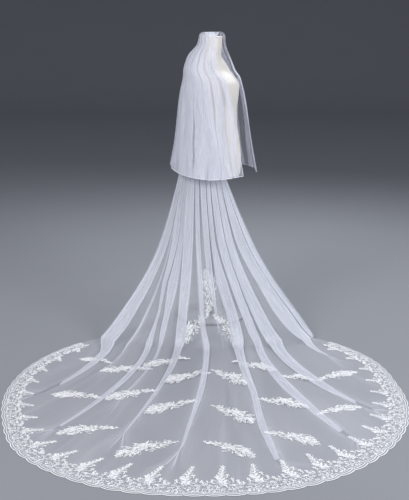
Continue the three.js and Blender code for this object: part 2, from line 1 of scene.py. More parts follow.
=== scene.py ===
# %% [markdown]
# # A two tier bridal veil on a dress form
# The real veil is two panels of soft tulle gathered on one comb. The short tier falls round the
# form like a cape, and the long one runs down the form's near side and spreads over the floor.
# Lace is sewn along its hem and in loose sprays across it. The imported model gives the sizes, so
# the first cell loads it, and every piece after that lands where its solid says.

# %% Load the frame
import math
import random

import bmesh
import bpy
import numpy as np
from mathutils import Matrix, Vector
from mathutils.bvhtree import BVHTree


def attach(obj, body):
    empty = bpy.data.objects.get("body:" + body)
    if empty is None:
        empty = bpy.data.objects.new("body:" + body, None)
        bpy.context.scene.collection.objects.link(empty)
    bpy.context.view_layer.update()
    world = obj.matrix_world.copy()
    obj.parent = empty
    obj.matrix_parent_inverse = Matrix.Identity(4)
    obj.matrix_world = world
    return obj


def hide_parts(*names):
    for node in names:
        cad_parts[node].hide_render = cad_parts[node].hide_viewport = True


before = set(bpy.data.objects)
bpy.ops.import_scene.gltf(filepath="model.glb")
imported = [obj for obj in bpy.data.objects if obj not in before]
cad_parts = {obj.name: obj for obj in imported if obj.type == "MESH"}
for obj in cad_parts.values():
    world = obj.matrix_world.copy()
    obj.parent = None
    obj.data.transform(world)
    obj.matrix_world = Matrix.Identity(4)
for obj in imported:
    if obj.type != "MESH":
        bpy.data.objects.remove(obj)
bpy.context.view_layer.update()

MM = 0.001

# %% [markdown]
# ## Floor, light and camera
# Tulle shows by what is behind it, so the floor is one plain grey sweep that curves up into a
# backdrop, far enough back to leave room for a view from any side. A large soft light from the
# upper left lays long soft shading on the folds, a second one fills the right side, and a third
# from behind draws the edges of the folded net.

# %% Floor sweep
SWEEP_NEAR, SWEEP_LONG, SWEEP_HALF, SWEEP_STEPS = -16, 36, 16, 60
WALL_AT, WALL_BEND = 12, 3


def link(mesh, name):
    piece = bpy.data.objects.new(name, mesh)
    bpy.context.scene.collection.objects.link(piece)
    return piece


def finish_mesh(bm, name):
    mesh = bpy.data.meshes.new(name)
    bm.to_mesh(mesh)
    bm.free()
    for face in mesh.polygons:
        face.use_smooth = True
    return mesh


def sweep():
    bm = bmesh.new()
    bmesh.ops.create_grid(bm, x_segments=1, y_segments=SWEEP_STEPS, size=1)
    for vert in bm.verts:
        run = (vert.co.y + 1) / 2 * SWEEP_LONG + SWEEP_NEAR
        bend = max(0.0, run - WALL_AT)
        turn = min(bend / WALL_BEND, math.pi / 2)
        past = max(0.0, bend - WALL_BEND * math.pi / 2)
        back = min(run, WALL_AT) + WALL_BEND * math.sin(turn)
        vert.co = (vert.co.x * SWEEP_HALF, back, WALL_BEND * (1 - math.cos(turn)) + past)
    piece = link(finish_mesh(bm, "floor_sweep"), "floor_sweep")
    return piece


floor = sweep()
print("floor sweep faces:", len(floor.data.polygons))

# %% Camera
# The camera stands in front of the form, a little above its neck, and looks down on the train.
EYE = (-0.04, -4.86, 1.6)
TIPPED_DOWN = 14.1
LENS, SENSOR_TALL = 64.8, 36
camera_data = bpy.data.cameras.new("camera")
camera_data.sensor_fit = "VERTICAL"
camera_data.sensor_height = SENSOR_TALL
camera_data.lens = LENS
camera = bpy.data.objects.new("camera", camera_data)
camera.location = EYE
camera.rotation_euler = (math.radians(90 - TIPPED_DOWN), 0, 0)
bpy.context.scene.collection.objects.link(camera)
bpy.context.scene.camera = camera
print("camera height:", EYE[2], "m, tipped down:", TIPPED_DOWN, "degrees")

# %% Lights
LIGHTS = [
    # name, place, aim, size, watts, tint
    ("key", (-2.6, -3.4, 3.6), (0, -0.6, 0.6), (2.2, 2.2), 150, (1, 0.99, 0.98)),
    ("fill", (3.2, -2.6, 2.4), (0, -0.6, 0.7), (2.0, 2.0), 105, (0.95, 0.97, 1)),
    ("back", (0.8, 2.3, 3.2), (0, -0.8, 0.2), (2.6, 1.2), 90, (0.93, 0.95, 1)),
]
ROOM_COLOUR, ROOM_STRENGTH = (0.62, 0.65, 0.72, 1), 0.35
MOST_LAYERS = 48


def softbox(name, place, aim, size, watts, tint):
    data = bpy.data.lights.new(name, "AREA")
    data.shape = "RECTANGLE"
    data.size, data.size_y = size
    data.energy = watts
    data.color = tint
    lamp = bpy.data.objects.new(name, data)
    lamp.location = place
    lamp.rotation_euler = (Vector(aim) - Vector(place)).to_track_quat("-Z", "Y").to_euler()
    bpy.context.scene.collection.objects.link(lamp)


for light in LIGHTS:
    softbox(*light)
world = bpy.data.worlds.new("studio")
bpy.context.scene.world = world
world.use_nodes = True
room = world.node_tree.nodes["Background"].inputs
room["Color"].default_value = ROOM_COLOUR
room["Strength"].default_value = ROOM_STRENGTH
# White cloth keeps its full brightness with the plain view transform.
bpy.context.scene.view_settings.view_transform = "Standard"
# Many layers of net lie behind each other, and a ray has to pass them all.
bpy.context.scene.cycles.transparent_max_bounces = MOST_LAYERS

# %% [markdown]
# ## Shared effects
# A node group is built once and placed in several materials with its own values. The first gives
# a fine grain for bump and a slow mottle for colour, the second the threads of the net.

# %% Grain group
def group(name, inputs, outputs):
    tree = bpy.data.node_groups.new(name, "ShaderNodeTree")
    for label, kind, value in inputs:
        socket = tree.interface.new_socket(label, in_out="INPUT", socket_type=kind)
        if value is not None:
            socket.default_value = value
    for label, kind in outputs:
        tree.interface.new_socket(label, in_out="OUTPUT", socket_type=kind)
    return tree, tree.nodes.new("NodeGroupInput"), tree.nodes.new("NodeGroupOutput")


def node(tree, kind, values=(), links=(), **settings):
    made = tree.nodes.new(kind)
    for key, value in settings.items():
        setattr(made, key, value)
    for socket, value in values:
        made.inputs[socket].default_value = value
    for socket, source in links:
        tree.links.new(source, made.inputs[socket])
    return made


def maths(tree, operation, first, second=None, third=None, clamp=False):
    made = node(tree, "ShaderNodeMath", operation=operation, use_clamp=clamp)
    for place, value in enumerate((first, second, third)):
        if value is None:
            continue
        if isinstance(value, (int, float)):
            made.inputs[place].default_value = value
        else:
            tree.links.new(value, made.inputs[place])
    return made.outputs[0]


grain, grain_in, grain_out = group(
    "surface grain",
    [
        ("Vector", "NodeSocketVector", None),
        ("Fine", "NodeSocketFloat", 900.0),
        ("Slow", "NodeSocketFloat", 6.0),
    ],
    [("Height", "NodeSocketFloat"), ("Mottle", "NodeSocketFloat")],
)
for label, detail, result in (("Fine", 3.0, "Height"), ("Slow", 4.0, "Mottle")):
    links = [("Vector", grain_in.outputs["Vector"]), ("Scale", grain_in.outputs[label])]
    noise = node(grain, "ShaderNodeTexNoise", [("Detail", detail)], links)
    grain.links.new(noise.outputs["Fac"], grain_out.inputs[result])
print("grain group sockets:", len(grain.interface.items_tree))

# %% Net group
# Tulle has six sided holes. Three sets of parallel threads, turned 60 degrees from each other,
# give the same fine diamond and hexagon sparkle at this scale.
THREAD_TURNS = (0, 60, 120)
THREAD_HALF = 0.07
net, net_in, net_out = group(
    "net threads",
    [("Vector", "NodeSocketVector", None), ("Holes per metre", "NodeSocketFloat", 600.0)],
    [("Threads", "NodeSocketFloat")],
)
threads = []
for turn in THREAD_TURNS:
    turned_map = node(
        net, "ShaderNodeVectorRotate", [("Angle", math.radians(turn))],
        [("Vector", net_in.outputs["Vector"])], rotation_type="Z_AXIS",
    )
    split = node(net, "ShaderNodeSeparateXYZ", links=[("Vector", turned_map.outputs[0])])
    scaled = maths(net, "MULTIPLY", split.outputs["X"], net_in.outputs["Holes per metre"])
    threads.append(maths(net, "PINGPONG", scaled, 0.5))
nearest = maths(net, "MINIMUM", maths(net, "MINIMUM", threads[0], threads[1]), threads[2])
net.links.new(maths(net, "LESS_THAN", nearest, THREAD_HALF), net_out.inputs["Threads"])
print("net group sockets:", len(net.interface.items_tree))

# %% [markdown]
# ## Plain finishes
# The form's shell is cream and matt, its cap and stand are enamelled, the comb is clear plastic,
# and the lace is dull white thread. Image textures could show their grain, but a noise needs no
# file and fits any size, so each finish is one shader with the grain group in it.

# %% Material helpers
def material(name, colour, roughness, **extra):
    made = bpy.data.materials.new(name)
    made.use_nodes = True
    shader = made.node_tree.nodes["Principled BSDF"]
    shader.inputs["Base Color"].default_value = (*colour, 1)
    shader.inputs["Roughness"].default_value = roughness
    for key, value in extra.items():
        shader.inputs[key.replace("_", " ")].default_value = value
    return made, made.node_tree, shader


def mix_colour(tree, factor, first, second):
    made = node(tree, "ShaderNodeMix", data_type="RGBA")
    made.inputs[6].default_value = (*first, 1)
    made.inputs[7].default_value = (*second, 1)
    tree.links.new(factor, made.inputs[0])
    return made.outputs[2]


def grained(name, colours, roughness, fine, slow, strength, depth, **extra):
    """A finish with a slow mottle between two colours and a fine bump of the given depth."""
    middle = [(first + second) / 2 for first, second in zip(*colours)]
    made, tree, shader = material(name, middle, roughness, **extra)
    place = node(tree, "ShaderNodeTexCoord")
    used = node(
        tree, "ShaderNodeGroup", links=[("Vector", place.outputs["Object"])],
        values=[("Fine", fine), ("Slow", slow)], node_tree=grain,
    )
    mottled = mix_colour(tree, used.outputs["Mottle"], *colours)
    tree.links.new(mottled, shader.inputs["Base Color"])
    bump = node(
        tree, "ShaderNodeBump", [("Strength", strength), ("Distance", depth)],
        [("Height", used.outputs["Height"])],
    )
    tree.links.new(bump.outputs[0], shader.inputs["Normal"])
    return made


print("node groups:", len(bpy.data.node_groups))

# %% Plain finishes
floor_finish = grained(
    "floor paper", ((0.24, 0.25, 0.275), (0.26, 0.27, 0.295)), 0.9, 60, 1.4, 0.05, 0.001,
)
form_finish = grained(
    "cream form shell", ((0.89, 0.85, 0.80), (0.84, 0.79, 0.73)), 0.5, 700, 7, 0.12, 0.0006,
    Sheen_Weight=0.15,
)
cap_finish = grained(
    "cap enamel", ((0.88, 0.86, 0.82), (0.80, 0.78, 0.74)), 0.35, 500, 18, 0.05, 0.0004,
)
stand_finish = grained(
    "stand enamel", ((0.28, 0.29, 0.31), (0.24, 0.25, 0.27)), 0.45, 420, 14, 0.08, 0.0004,
)
comb_finish = grained(
    "clear comb plastic", ((0.94, 0.95, 0.97), (0.88, 0.90, 0.93)), 0.15, 300, 30, 0.03, 0.0003,
    IOR=1.49, Alpha=0.55,
)
lace_finish = grained(
    "white lace", ((0.88, 0.89, 0.91), (0.76, 0.77, 0.80)), 0.7, 1500, 24, 0.5, 0.0006,
    Sheen_Weight=0.2,
)
floor.data.materials.append(floor_finish)
print("plain materials:", len(bpy.data.materials))

# %% [markdown]
# ## Tulle
# One layer of tulle lets most of the light through, so it almost vanishes, and it shows where
# folds lay three layers on each other. So its Alpha is low, and brightness comes from real
# overlapping folds. Two numbers ride on the mesh: "full" is 1 where the net is gathered into a
# fold, and "crease" is 1 along a fold's turn, where the threads are seen edge on. The UV map is
# the flat cut in metres, and V is the distance to the hem.

# %% Tulle material
NET_WHITE = (0.80, 0.82, 0.93)
NET_SHADES = ((0.78, 0.81, 0.94), (0.92, 0.93, 0.98))
NET_SHEEN = (0.9, 0.92, 1, 1)
STREAK_STRETCH = (1, 0.06, 1)
STREAKS, PLEATS = (24.0, 3.0), (46.0, 2.0)
CREASE_HALF = 0.05
RIM_WIDE = 0.004


def tulle(name, width, alpha, folded, crease, edge, ground):
    """Net for a panel of this cut width. alpha is for a plain layer and folded for a gathered
    one, crease and edge add to it on turns and rims, and ground is how far the lace band goes."""
    made, tree, shader = material(name, NET_WHITE, 0.85, Sheen_Weight=0.3, Sheen_Roughness=0.5)
    shader.inputs["Sheen Tint"].default_value = NET_SHEEN
    cut = node(tree, "ShaderNodeUVMap", uv_map="cut").outputs["UV"]
    full = node(tree, "ShaderNodeAttribute", attribute_name="full").outputs["Fac"]
    turns = node(tree, "ShaderNodeAttribute", attribute_name="crease").outputs["Fac"]
    split = node(tree, "ShaderNodeSeparateXYZ", links=[("Vector", cut)])
    across, up_from_hem = split.outputs["X"], split.outputs["Y"]
    used = node(tree, "ShaderNodeGroup", links=[("Vector", cut)], node_tree=net)
    stretched = node(tree, "ShaderNodeMapping", [("Scale", STREAK_STRETCH)], [("Vector", cut)])
    streaks, pleats = (
        node(
            tree, "ShaderNodeTexNoise", [("Scale", scale), ("Detail", detail)],
            [("Vector", stretched.outputs[0])],
        ).outputs["Fac"]
        for scale, detail in (STREAKS, PLEATS)
    )
    # A noise crosses its middle value along thin winding lines, which read as fine creases.
    off_middle = maths(tree, "ABSOLUTE", maths(tree, "SUBTRACT", pleats, 0.5))
    line = maths(tree, "SUBTRACT", 1, maths(tree, "DIVIDE", off_middle, CREASE_HALF, clamp=True))
    base = maths(tree, "MULTIPLY_ADD", full, folded - alpha, alpha)
    total = maths(tree, "MULTIPLY", base, maths(tree, "MULTIPLY", streaks, 2.0))
    side = maths(tree, "MINIMUM", across, maths(tree, "SUBTRACT", width, across))
    rim = maths(tree, "LESS_THAN", maths(tree, "MINIMUM", side, up_from_hem), RIM_WIDE)
    band = maths(tree, "LESS_THAN", up_from_hem, ground)
    fine_creases = maths(tree, "MULTIPLY", line, full)
    for mask, gain in (
        (used.outputs["Threads"], alpha * 0.4), (fine_creases, folded * 0.5), (turns, crease),
        (rim, edge), (band, alpha * 0.15),
    ):
        total = maths(tree, "MULTIPLY_ADD", mask, gain, total, clamp=mask is band)
    tree.links.new(total, shader.inputs["Alpha"])
    tree.links.new(mix_colour(tree, streaks, *NET_SHADES), shader.inputs["Base Color"])
    return made


TRAIN_CUT, UPPER_CUT = (1.95, 3.35), (2.4, 0.78)
train_finish = tulle("train tulle", TRAIN_CUT[0], 0.17, 0.24, 0.6, 0.1, 0.1)
upper_finish = tulle("upper tulle", UPPER_CUT[0], 0.22, 0.27, 0.22, 0.4, 0.0)
print("tulle nodes:", len(train_finish.node_tree.nodes))

# %% [markdown]
# ## The dress form
# The form is a smooth limbless shell. Its solid is a stack of oval rings, and the same rings
# with a smooth curve run through them give a finer skin. A grid is wrapped round the axis, its
# two edges are merged, and the ends are filled.

# %% Smooth curves
def hermite(first, leave, last, arrive, t):
    """A place on the curve from first to last that leaves and arrives by these slopes."""
    return (
        first * (2 * t**3 - 3 * t**2 + 1)
        + leave * (t**3 - 2 * t**2 + t)
        + last * (3 * t**2 - 2 * t**3)
        + arrive * (t**3 - t**2)
    )


def through(keys, values, at):
    """A smooth curve through the rows of a table, read at some places."""
    keys = np.array(keys, float)
    values = np.array(values, float)
    if keys[0] > keys[-1]:
        keys, values = keys[::-1], values[::-1]
    slopes = np.diff(values) / np.diff(keys)
    before, after = slopes[:-1], slopes[1:]
    same = before * after > 0
    tangents = np.zeros(len(keys))
    tangents[0], tangents[-1] = slopes[0], slopes[-1]
    tangents[1:-1] = np.where(same, 2 * before * after / np.where(same, before + after, 1), 0)
    at = np.clip(at, keys[0], keys[-1])
    i = np.clip(np.searchsorted(keys, at) - 1, 0, len(keys) - 2)
    span = keys[i + 1] - keys[i]
    t = (at - keys[i]) / span
    return hermite(values[i], tangents[i] * span, values[i + 1], tangents[i + 1] * span, t)


def smoothstep(low, high, x):
    t = np.clip((x - low) / (high - low), 0, 1)
    return t * t * (3 - 2 * t)


print("a curve between 1 and 4:", float(through([0, 1, 2], [0, 1, 4], 1.5)))

# %% Rings round the form
FACING = math.radians(-30)
FRONT = np.array([math.cos(FACING), math.sin(FACING), 0])
SIDE = np.array([-FRONT[1], FRONT[0], 0])
SEAM = 0.3
FORM_FOOT, NECK_TOP = 800, 1530
FORM_RINGS = np.array([
    # height, width, depth, forward
    (FORM_FOOT, 138, 96, 45), (812, 148, 104, 45), (900, 150, 108, 45), (1000, 130, 100, 45),
    (1080, 118, 92, 42), (1160, 124, 94, 36), (1230, 142, 102, 33), (1290, 154, 98, 28),
    (1325, 158, 88, 15), (1362, 156, 75, -5), (1392, 142, 68, -14), (1416, 112, 63, -20),
    (1436, 80, 59, -18), (1458, 60, 56, -10), (1490, 54, 54, -2), (NECK_TOP, 54, 54, 0),
])
BUST = {"height": 1290, "apart": 34, "spread": 24, "tall": 42, "rise": 7}
FORM_ROWS, FORM_COLUMNS = 110, 97


def ring_points(width, depth, forward, height, angle, out=0.0):
    """Points of an oval ring round the form, moved straight out, in millimetres."""
    c, s = np.cos(np.radians(angle)), np.sin(np.radians(angle))
    out_x, out_y = c / depth, s / width
    size = np.hypot(out_x, out_y)
    along = forward + depth * c + out * out_x / size
    aside = width * s + out * out_y / size
    points = along[..., None] * FRONT + aside[..., None] * SIDE
    points[..., 2] = height
    return points


print("form rings:", len(FORM_RINGS), "from", FORM_FOOT, "to", NECK_TOP, "mm")

# %% A grid that takes the shape
def grid_piece(name, points, cut=None, wrap=False, numbers=None):
    """A grid whose points take these places, in millimetres. cut gives each point's place in the
    flat cut, and numbers holds values by name that ride on the points. A wrapped grid has its
    edges merged and its ends filled."""
    rows, columns = points.shape[0] - 1, points.shape[1] - 1
    bm = bmesh.new()
    bmesh.ops.create_grid(bm, x_segments=columns, y_segments=rows, size=0.5)
    place = bm.verts.layers.int.new("place")
    for vert in bm.verts:
        c = round((vert.co.x + 0.5) * columns)
        r = round((0.5 - vert.co.y) * rows)
        vert[place] = r * (columns + 1) + c
        vert.co = points[r, c] * MM
    if wrap:
        bmesh.ops.remove_doubles(bm, verts=bm.verts[:], dist=1e-5)
        bmesh.ops.holes_fill(bm, edges=bm.edges[:], sides=0)
        bmesh.ops.recalc_face_normals(bm, faces=bm.faces[:])
    mesh = finish_mesh(bm, name)
    if cut is not None:
        at = np.zeros(len(mesh.vertices), int)
        mesh.attributes["place"].data.foreach_get("value", at)
        corner = np.zeros(len(mesh.loops), int)
        mesh.loops.foreach_get("vertex_index", corner)
        layer = mesh.uv_layers.new(name="cut")
        layer.data.foreach_set("uv", cut.reshape(-1, 2)[at[corner]].ravel())
        for label, values in (numbers or {}).items():
            made = mesh.attributes.new(label, "FLOAT", "POINT")
            made.data.foreach_set("value", values.ravel()[at])
    mesh.attributes.remove(mesh.attributes["place"])
    return link(mesh, name)


def dress(piece, finish, stands_for):
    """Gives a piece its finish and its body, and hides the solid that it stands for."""
    piece.data.materials.append(finish)
    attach(piece, "root")
    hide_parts(stands_for)
    return piece


def area_of(piece):
    return sum(face.area for face in piece.data.polygons)


print("solids to stand for:", len(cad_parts))

# %% Form shell
def form_shell():
    heights = np.linspace(FORM_FOOT, NECK_TOP, FORM_ROWS)[:, None]
    angles = np.linspace(0, 360, FORM_COLUMNS)[None, :]
    turn = np.where(angles > 180, angles - 360, angles)
    oval = (through(FORM_RINGS[:, 0], FORM_RINGS[:, k], heights) for k in (1, 2, 3))
    high = np.exp(-(((heights - BUST["height"]) / BUST["tall"]) ** 2))
    aside = np.exp(-(((np.abs(turn) - BUST["apart"]) / BUST["spread"]) ** 2))
    out = BUST["rise"] * high * aside
    points = ring_points(*oval, heights + 0 * angles, angles, out)
    return grid_piece("form_shell", points[::-1], wrap=True)


form = dress(form_shell(), form_finish, "form_torso")
print("form shell faces:", len(form.data.polygons))

# %% [markdown]
# ## Neck cap, pole and base
# Turned parts come from spinning a half profile round the upright axis. A bevel on the hard
# edges catches the light as rounded metal does.

# %% Turned parts
CAP_THICK, CAP_RADIUS = 6, 56
CAP_TOP = NECK_TOP + SEAM + CAP_THICK
POLE_RADIUS = 13
BASE_THICK, BASE_RADIUS = 14, 190
TURNED = [
    # name, radius, low, high, steps, bevel, finish, solid, slot
    (
        "neck_cap", CAP_RADIUS, NECK_TOP + SEAM, CAP_TOP, 72, 1.6,
        cap_finish, "form_neck_cap", "form_cap",
    ),
    (
        "pole", POLE_RADIUS, BASE_THICK + SEAM, FORM_FOOT - SEAM, 48, 0.8,
        stand_finish, "stand_pole", "stand_paint",
    ),
    ("base", BASE_RADIUS, 0, BASE_THICK, 96, 4, stand_finish, "stand_base", "stand_paint"),
]


def turned(name, radius, low, high, steps, bevel):
    bm = bmesh.new()
    profile = ((0, low), (radius, low), (radius, high), (0, high))
    line = [bm.verts.new((r * MM, 0, z * MM)) for r, z in profile]
    edges = [bm.edges.new(pair) for pair in zip(line, line[1:])]
    bmesh.ops.spin(
        bm, geom=line + edges, axis=(0, 0, 1), cent=(0, 0, 0), angle=2 * math.pi, steps=steps,
        use_merge=True,
    )
    bmesh.ops.remove_doubles(bm, verts=bm.verts[:], dist=1e-5)
    bmesh.ops.recalc_face_normals(bm, faces=bm.faces[:])
    sharp = math.radians(40)
    hard = [e for e in bm.edges if len(e.link_faces) == 2 and e.calc_face_angle() > sharp]
    bmesh.ops.bevel(
        bm, geom=hard, offset=bevel * MM, affect="EDGES", segments=3, profile=0.5, material=-1,
    )
    return link(finish_mesh(bm, name), name)


for *shape, finish, stands_for, slot in TURNED:
    dress(turned(*shape), finish, stands_for)
print("turned parts:", [row[0] for row in TURNED])

# %% [markdown]
# ## The comb
# Both tiers are sewn to the bar of a clear hair comb. Its solid has the true shape, so it stays
# and takes the plastic finish.

# %% Comb finish
comb_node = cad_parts["veil_comb"]
comb_node.data.materials.clear()
comb_node.data.materials.append(comb_finish)

# %% [markdown]
# ## The train's form
# The train is one panel. Strands run down it from the comb, round the form's near side, out to
# the line where the cloth lands, and over the floor to the hem. Each row below is one level of
# all the strands, and a smooth curve runs through the rows.

# %% Train tables
TRAIN_RINGS = [
    # height, width, depth, forward, turn from the place on the comb to that at the hip, fold
    (CAP_TOP + 1.2, 51.5, 10.5, 0, 0, 0), (CAP_TOP + 13, 58, 30, 0, 0, 0.4),
    (CAP_TOP + 7, 63, 59, 0, 0.02, 0.5), (1500, 66, 62, -3, 0.06, 0.8),
    (1436, 108, 77, -21, 0.14, 2), (1370, 170, 88, -10, 0.26, 3), (1200, 180, 138, 0, 0.52, 5),
    (1010, 192, 154, 0, 0.8, 7), (820, 195, 164, 0, 1, 8),
]
TRAIN_FALL = [
    # height, lean out to the landing, glide past it, fold
    (690, 0.085, 0, 12), (550, 0.19, 0, 16), (410, 0.32, 0, 19), (280, 0.485, 0, 22),
    (165, 0.675, 0, 23), (82, 0.835, 0, 22), (36, 0.93, 0, 20), (12, 1, 0, 18),
    (3, 1, 0.45, 17), (0, 1, 1, 16),
]
TRAIN_FLOOR = [
    # share of the way over the floor, fold
    (0.2, 15), (0.44, 12), (0.7, 8), (1, 0),
]
STRANDS = np.array([
    # across, angle on the comb, angle at the hip, landing x, landing y, bow, angle on the hem
    (0, -270, -146, -530, -340, -0.1, -141), (0.06, -259, -141, -578, -425, -0.1, -122),
    (0.15, -243, -133, -478, -465, -0.06, -80), (0.27, -221, -116, -318, -490, 0, -52),
    (0.38, -202, -96, -165, -505, 0, -28), (0.48, -184, -78, -25, -512, 0, -8),
    (0.58, -166, -62, 115, -505, 0.05, 20), (0.69, -146, -50, 243, -485, 0.1, 50),
    (0.79, -128, -41, 360, -455, 0.2, 73), (0.88, -112, -36, 478, -425, 0.28, 100),
    (0.95, -99, -33, 528, -395, 0.28, 123), (1, -90, -32, 470, -320, 0.28, 141),
])
HEM_MIDDLE = (-40, -1150)
HEM_REACH = np.array([
    # angle, reach
    (-144, 940), (-120, 920), (-95, 886), (-75, 872), (-52, 899), (-25, 890),
    (0, 866), (30, 880), (60, 880), (95, 882), (120, 935), (144, 958),
])
HEM_FLAT = 215
FLAT_STEP, FLAT_LEAST, FLAT_TRIES = 0.01, 0.5, 50
FLOOR_TURN = 0.35
GLIDE_MOST, GLIDE_SHARE = 75, 0.3
# The net's middle lies half of the solid's wall over the floor.
FLOOR_MID = 0.75
LANDING_ROW, LANDING_SOFT, LANDING_PASSES = 17.4, 1.6, 50
# How many steps of the finished sheet run between two rows of the tables
STEPS = [2, 2, 2, 3, 4, 7, 7, 7] + [6, 7, 7, 7, 6, 5, 3, 3, 2, 2] + [8, 11, 11, 12] + [9]
print("steps down the train:", sum(STEPS))


# %% The hem and the smooth curves down the cloth
def hem_points(angle, depth=0.0):
    """Points on the hem at these angles, moved in from it by a depth, in millimetres."""
    reach = through(HEM_REACH[:, 0], HEM_REACH[:, 1], angle) - depth
    turn = np.radians(angle)
    x, y = HEM_MIDDLE
    return np.stack([x + reach * np.sin(turn), y - reach * np.cos(turn), 0 * reach], -1)


def along_rows(rows, steps):
    """Smooth curves down the rows, with the given steps between each two of them."""
    gaps = np.maximum(np.linalg.norm(np.diff(rows, axis=0), axis=2), 1e-6)
    slopes = np.diff(rows, axis=0) / gaps[..., None]
    tangents = np.zeros_like(rows)
    tangents[0], tangents[-1] = slopes[0], slopes[-1]
    weight = (gaps[1:] / (gaps[:-1] + gaps[1:]))[..., None]
    tangents[1:-1] = slopes[:-1] * weight + slopes[1:] * (1 - weight)
    made = []
    for i, count in enumerate(steps):
        gap = gaps[i][..., None]
        leave, arrive = tangents[i] * gap, tangents[i + 1] * gap
        for k in range(count):
            made.append(hermite(rows[i], leave, rows[i + 1], arrive, k / count))
    made.append(rows[-1])
    return np.array(made)


def normals_of(grid):
    normal = np.cross(np.gradient(grid, axis=0), np.gradient(grid, axis=1))
    return normal / np.maximum(np.linalg.norm(normal, axis=2, keepdims=True), 1e-9)


print("front of the hem, mm:", hem_points(np.array([0.0])).round(1).tolist())


# %% Strands of the train
def strand(across, column):
    return through(STRANDS[:, 0], STRANDS[:, column], across)


def train_rows(across):
    """The rows of points, in millimetres, and how high the folds stand at each."""
    rows, folds = [], []
    for height, width, depth, forward, turn, fold in TRAIN_RINGS:
        angle = strand(across, 1) * (1 - turn) + strand(across, 2) * turn
        rows.append(ring_points(width, depth, forward, height + 0 * angle, angle))
        folds.append(fold)
    hip = rows[-1]
    land = np.stack([strand(across, 3), strand(across, 4), 0 * across], -1)
    hem = hem_points(strand(across, 6))
    run = np.linalg.norm(hem - land, axis=1)
    control = land - np.stack([0 * run, FLOOR_TURN * run, 0 * run], -1)

    def on_floor(share):
        share = share[:, None]
        return land * (1 - share) ** 2 + 2 * control * share * (1 - share) + hem * share**2

    glide = np.minimum(GLIDE_MOST, GLIDE_SHARE * run) / run
    for height, lean, past, fold in TRAIN_FALL:
        leant = (lean * (1 + strand(across, 5) * (1 - lean)))[:, None]
        row = hip * (1 - leant) + on_floor(past * glide) * leant
        row[:, 2] = height + FLOOR_MID
        rows.append(row)
        folds.append(fold)
    flat_start = np.ones_like(run)
    for _ in range(FLAT_TRIES):
        point = on_floor(flat_start)
        away = np.min(np.linalg.norm(point[:, None] - hem[None], axis=2), axis=1)
        near = (away < HEM_FLAT) & (flat_start > FLAT_LEAST)
        flat_start = np.where(near, flat_start - FLAT_STEP, flat_start)
    on_the_floor = [(on_floor(glide * (1 - s) + flat_start * s), fold) for s, fold in TRAIN_FLOOR]
    for row, fold in on_the_floor + [(hem.copy(), 0)]:
        row[:, 2] = FLOOR_MID
        rows.append(row)
        folds.append(fold)
    return np.array(rows), np.array(folds, float)


PLAIN_COLUMNS = 400
train_plain_rows, train_fold_rows = train_rows(np.linspace(0, 1, PLAIN_COLUMNS + 1))
TRAIN_PLAIN = along_rows(train_plain_rows, STEPS)
row_place = np.concatenate([np.arange(n) / n + i for i, n in enumerate(STEPS)] + [[len(STEPS)]])
# Soft net doesn't break where it lands, so the strands are smoothed round the landing row.
near_landing = np.exp(-(((row_place[1:-1] - LANDING_ROW) / LANDING_SOFT) ** 2))[:, None, None]
for _ in range(LANDING_PASSES):
    bend = (TRAIN_PLAIN[:-2] + TRAIN_PLAIN[2:]) / 2 - TRAIN_PLAIN[1:-1]
    TRAIN_PLAIN[1:-1] += bend * near_landing / 2
TRAIN_PLAIN[..., 2] = np.maximum(TRAIN_PLAIN[..., 2], FLOOR_MID)
TRAIN_NORMAL = normals_of(TRAIN_PLAIN)
TRAIN_LIFT = np.interp(row_place, np.arange(len(train_fold_rows)), train_fold_rows)
down_the_middle = np.linalg.norm(np.diff(TRAIN_PLAIN[:, PLAIN_COLUMNS // 2], axis=0), axis=1)
print("train rows:", TRAIN_PLAIN.shape, "length, mm:", round(float(down_the_middle.sum())))

# %% [markdown]
# ## Folds that overlap
# Net shows as bright bands where the cloth doubles back over itself. So each fold is a real Z of
# three layers: the sheet runs on under the fold, turns back over itself, and turns forward again
# on top. A table gives each fold's left and right edge at some rows. At the hip the folds touch
# each other, and towards the hem they shrink to thin tails, because the cut is wider there.

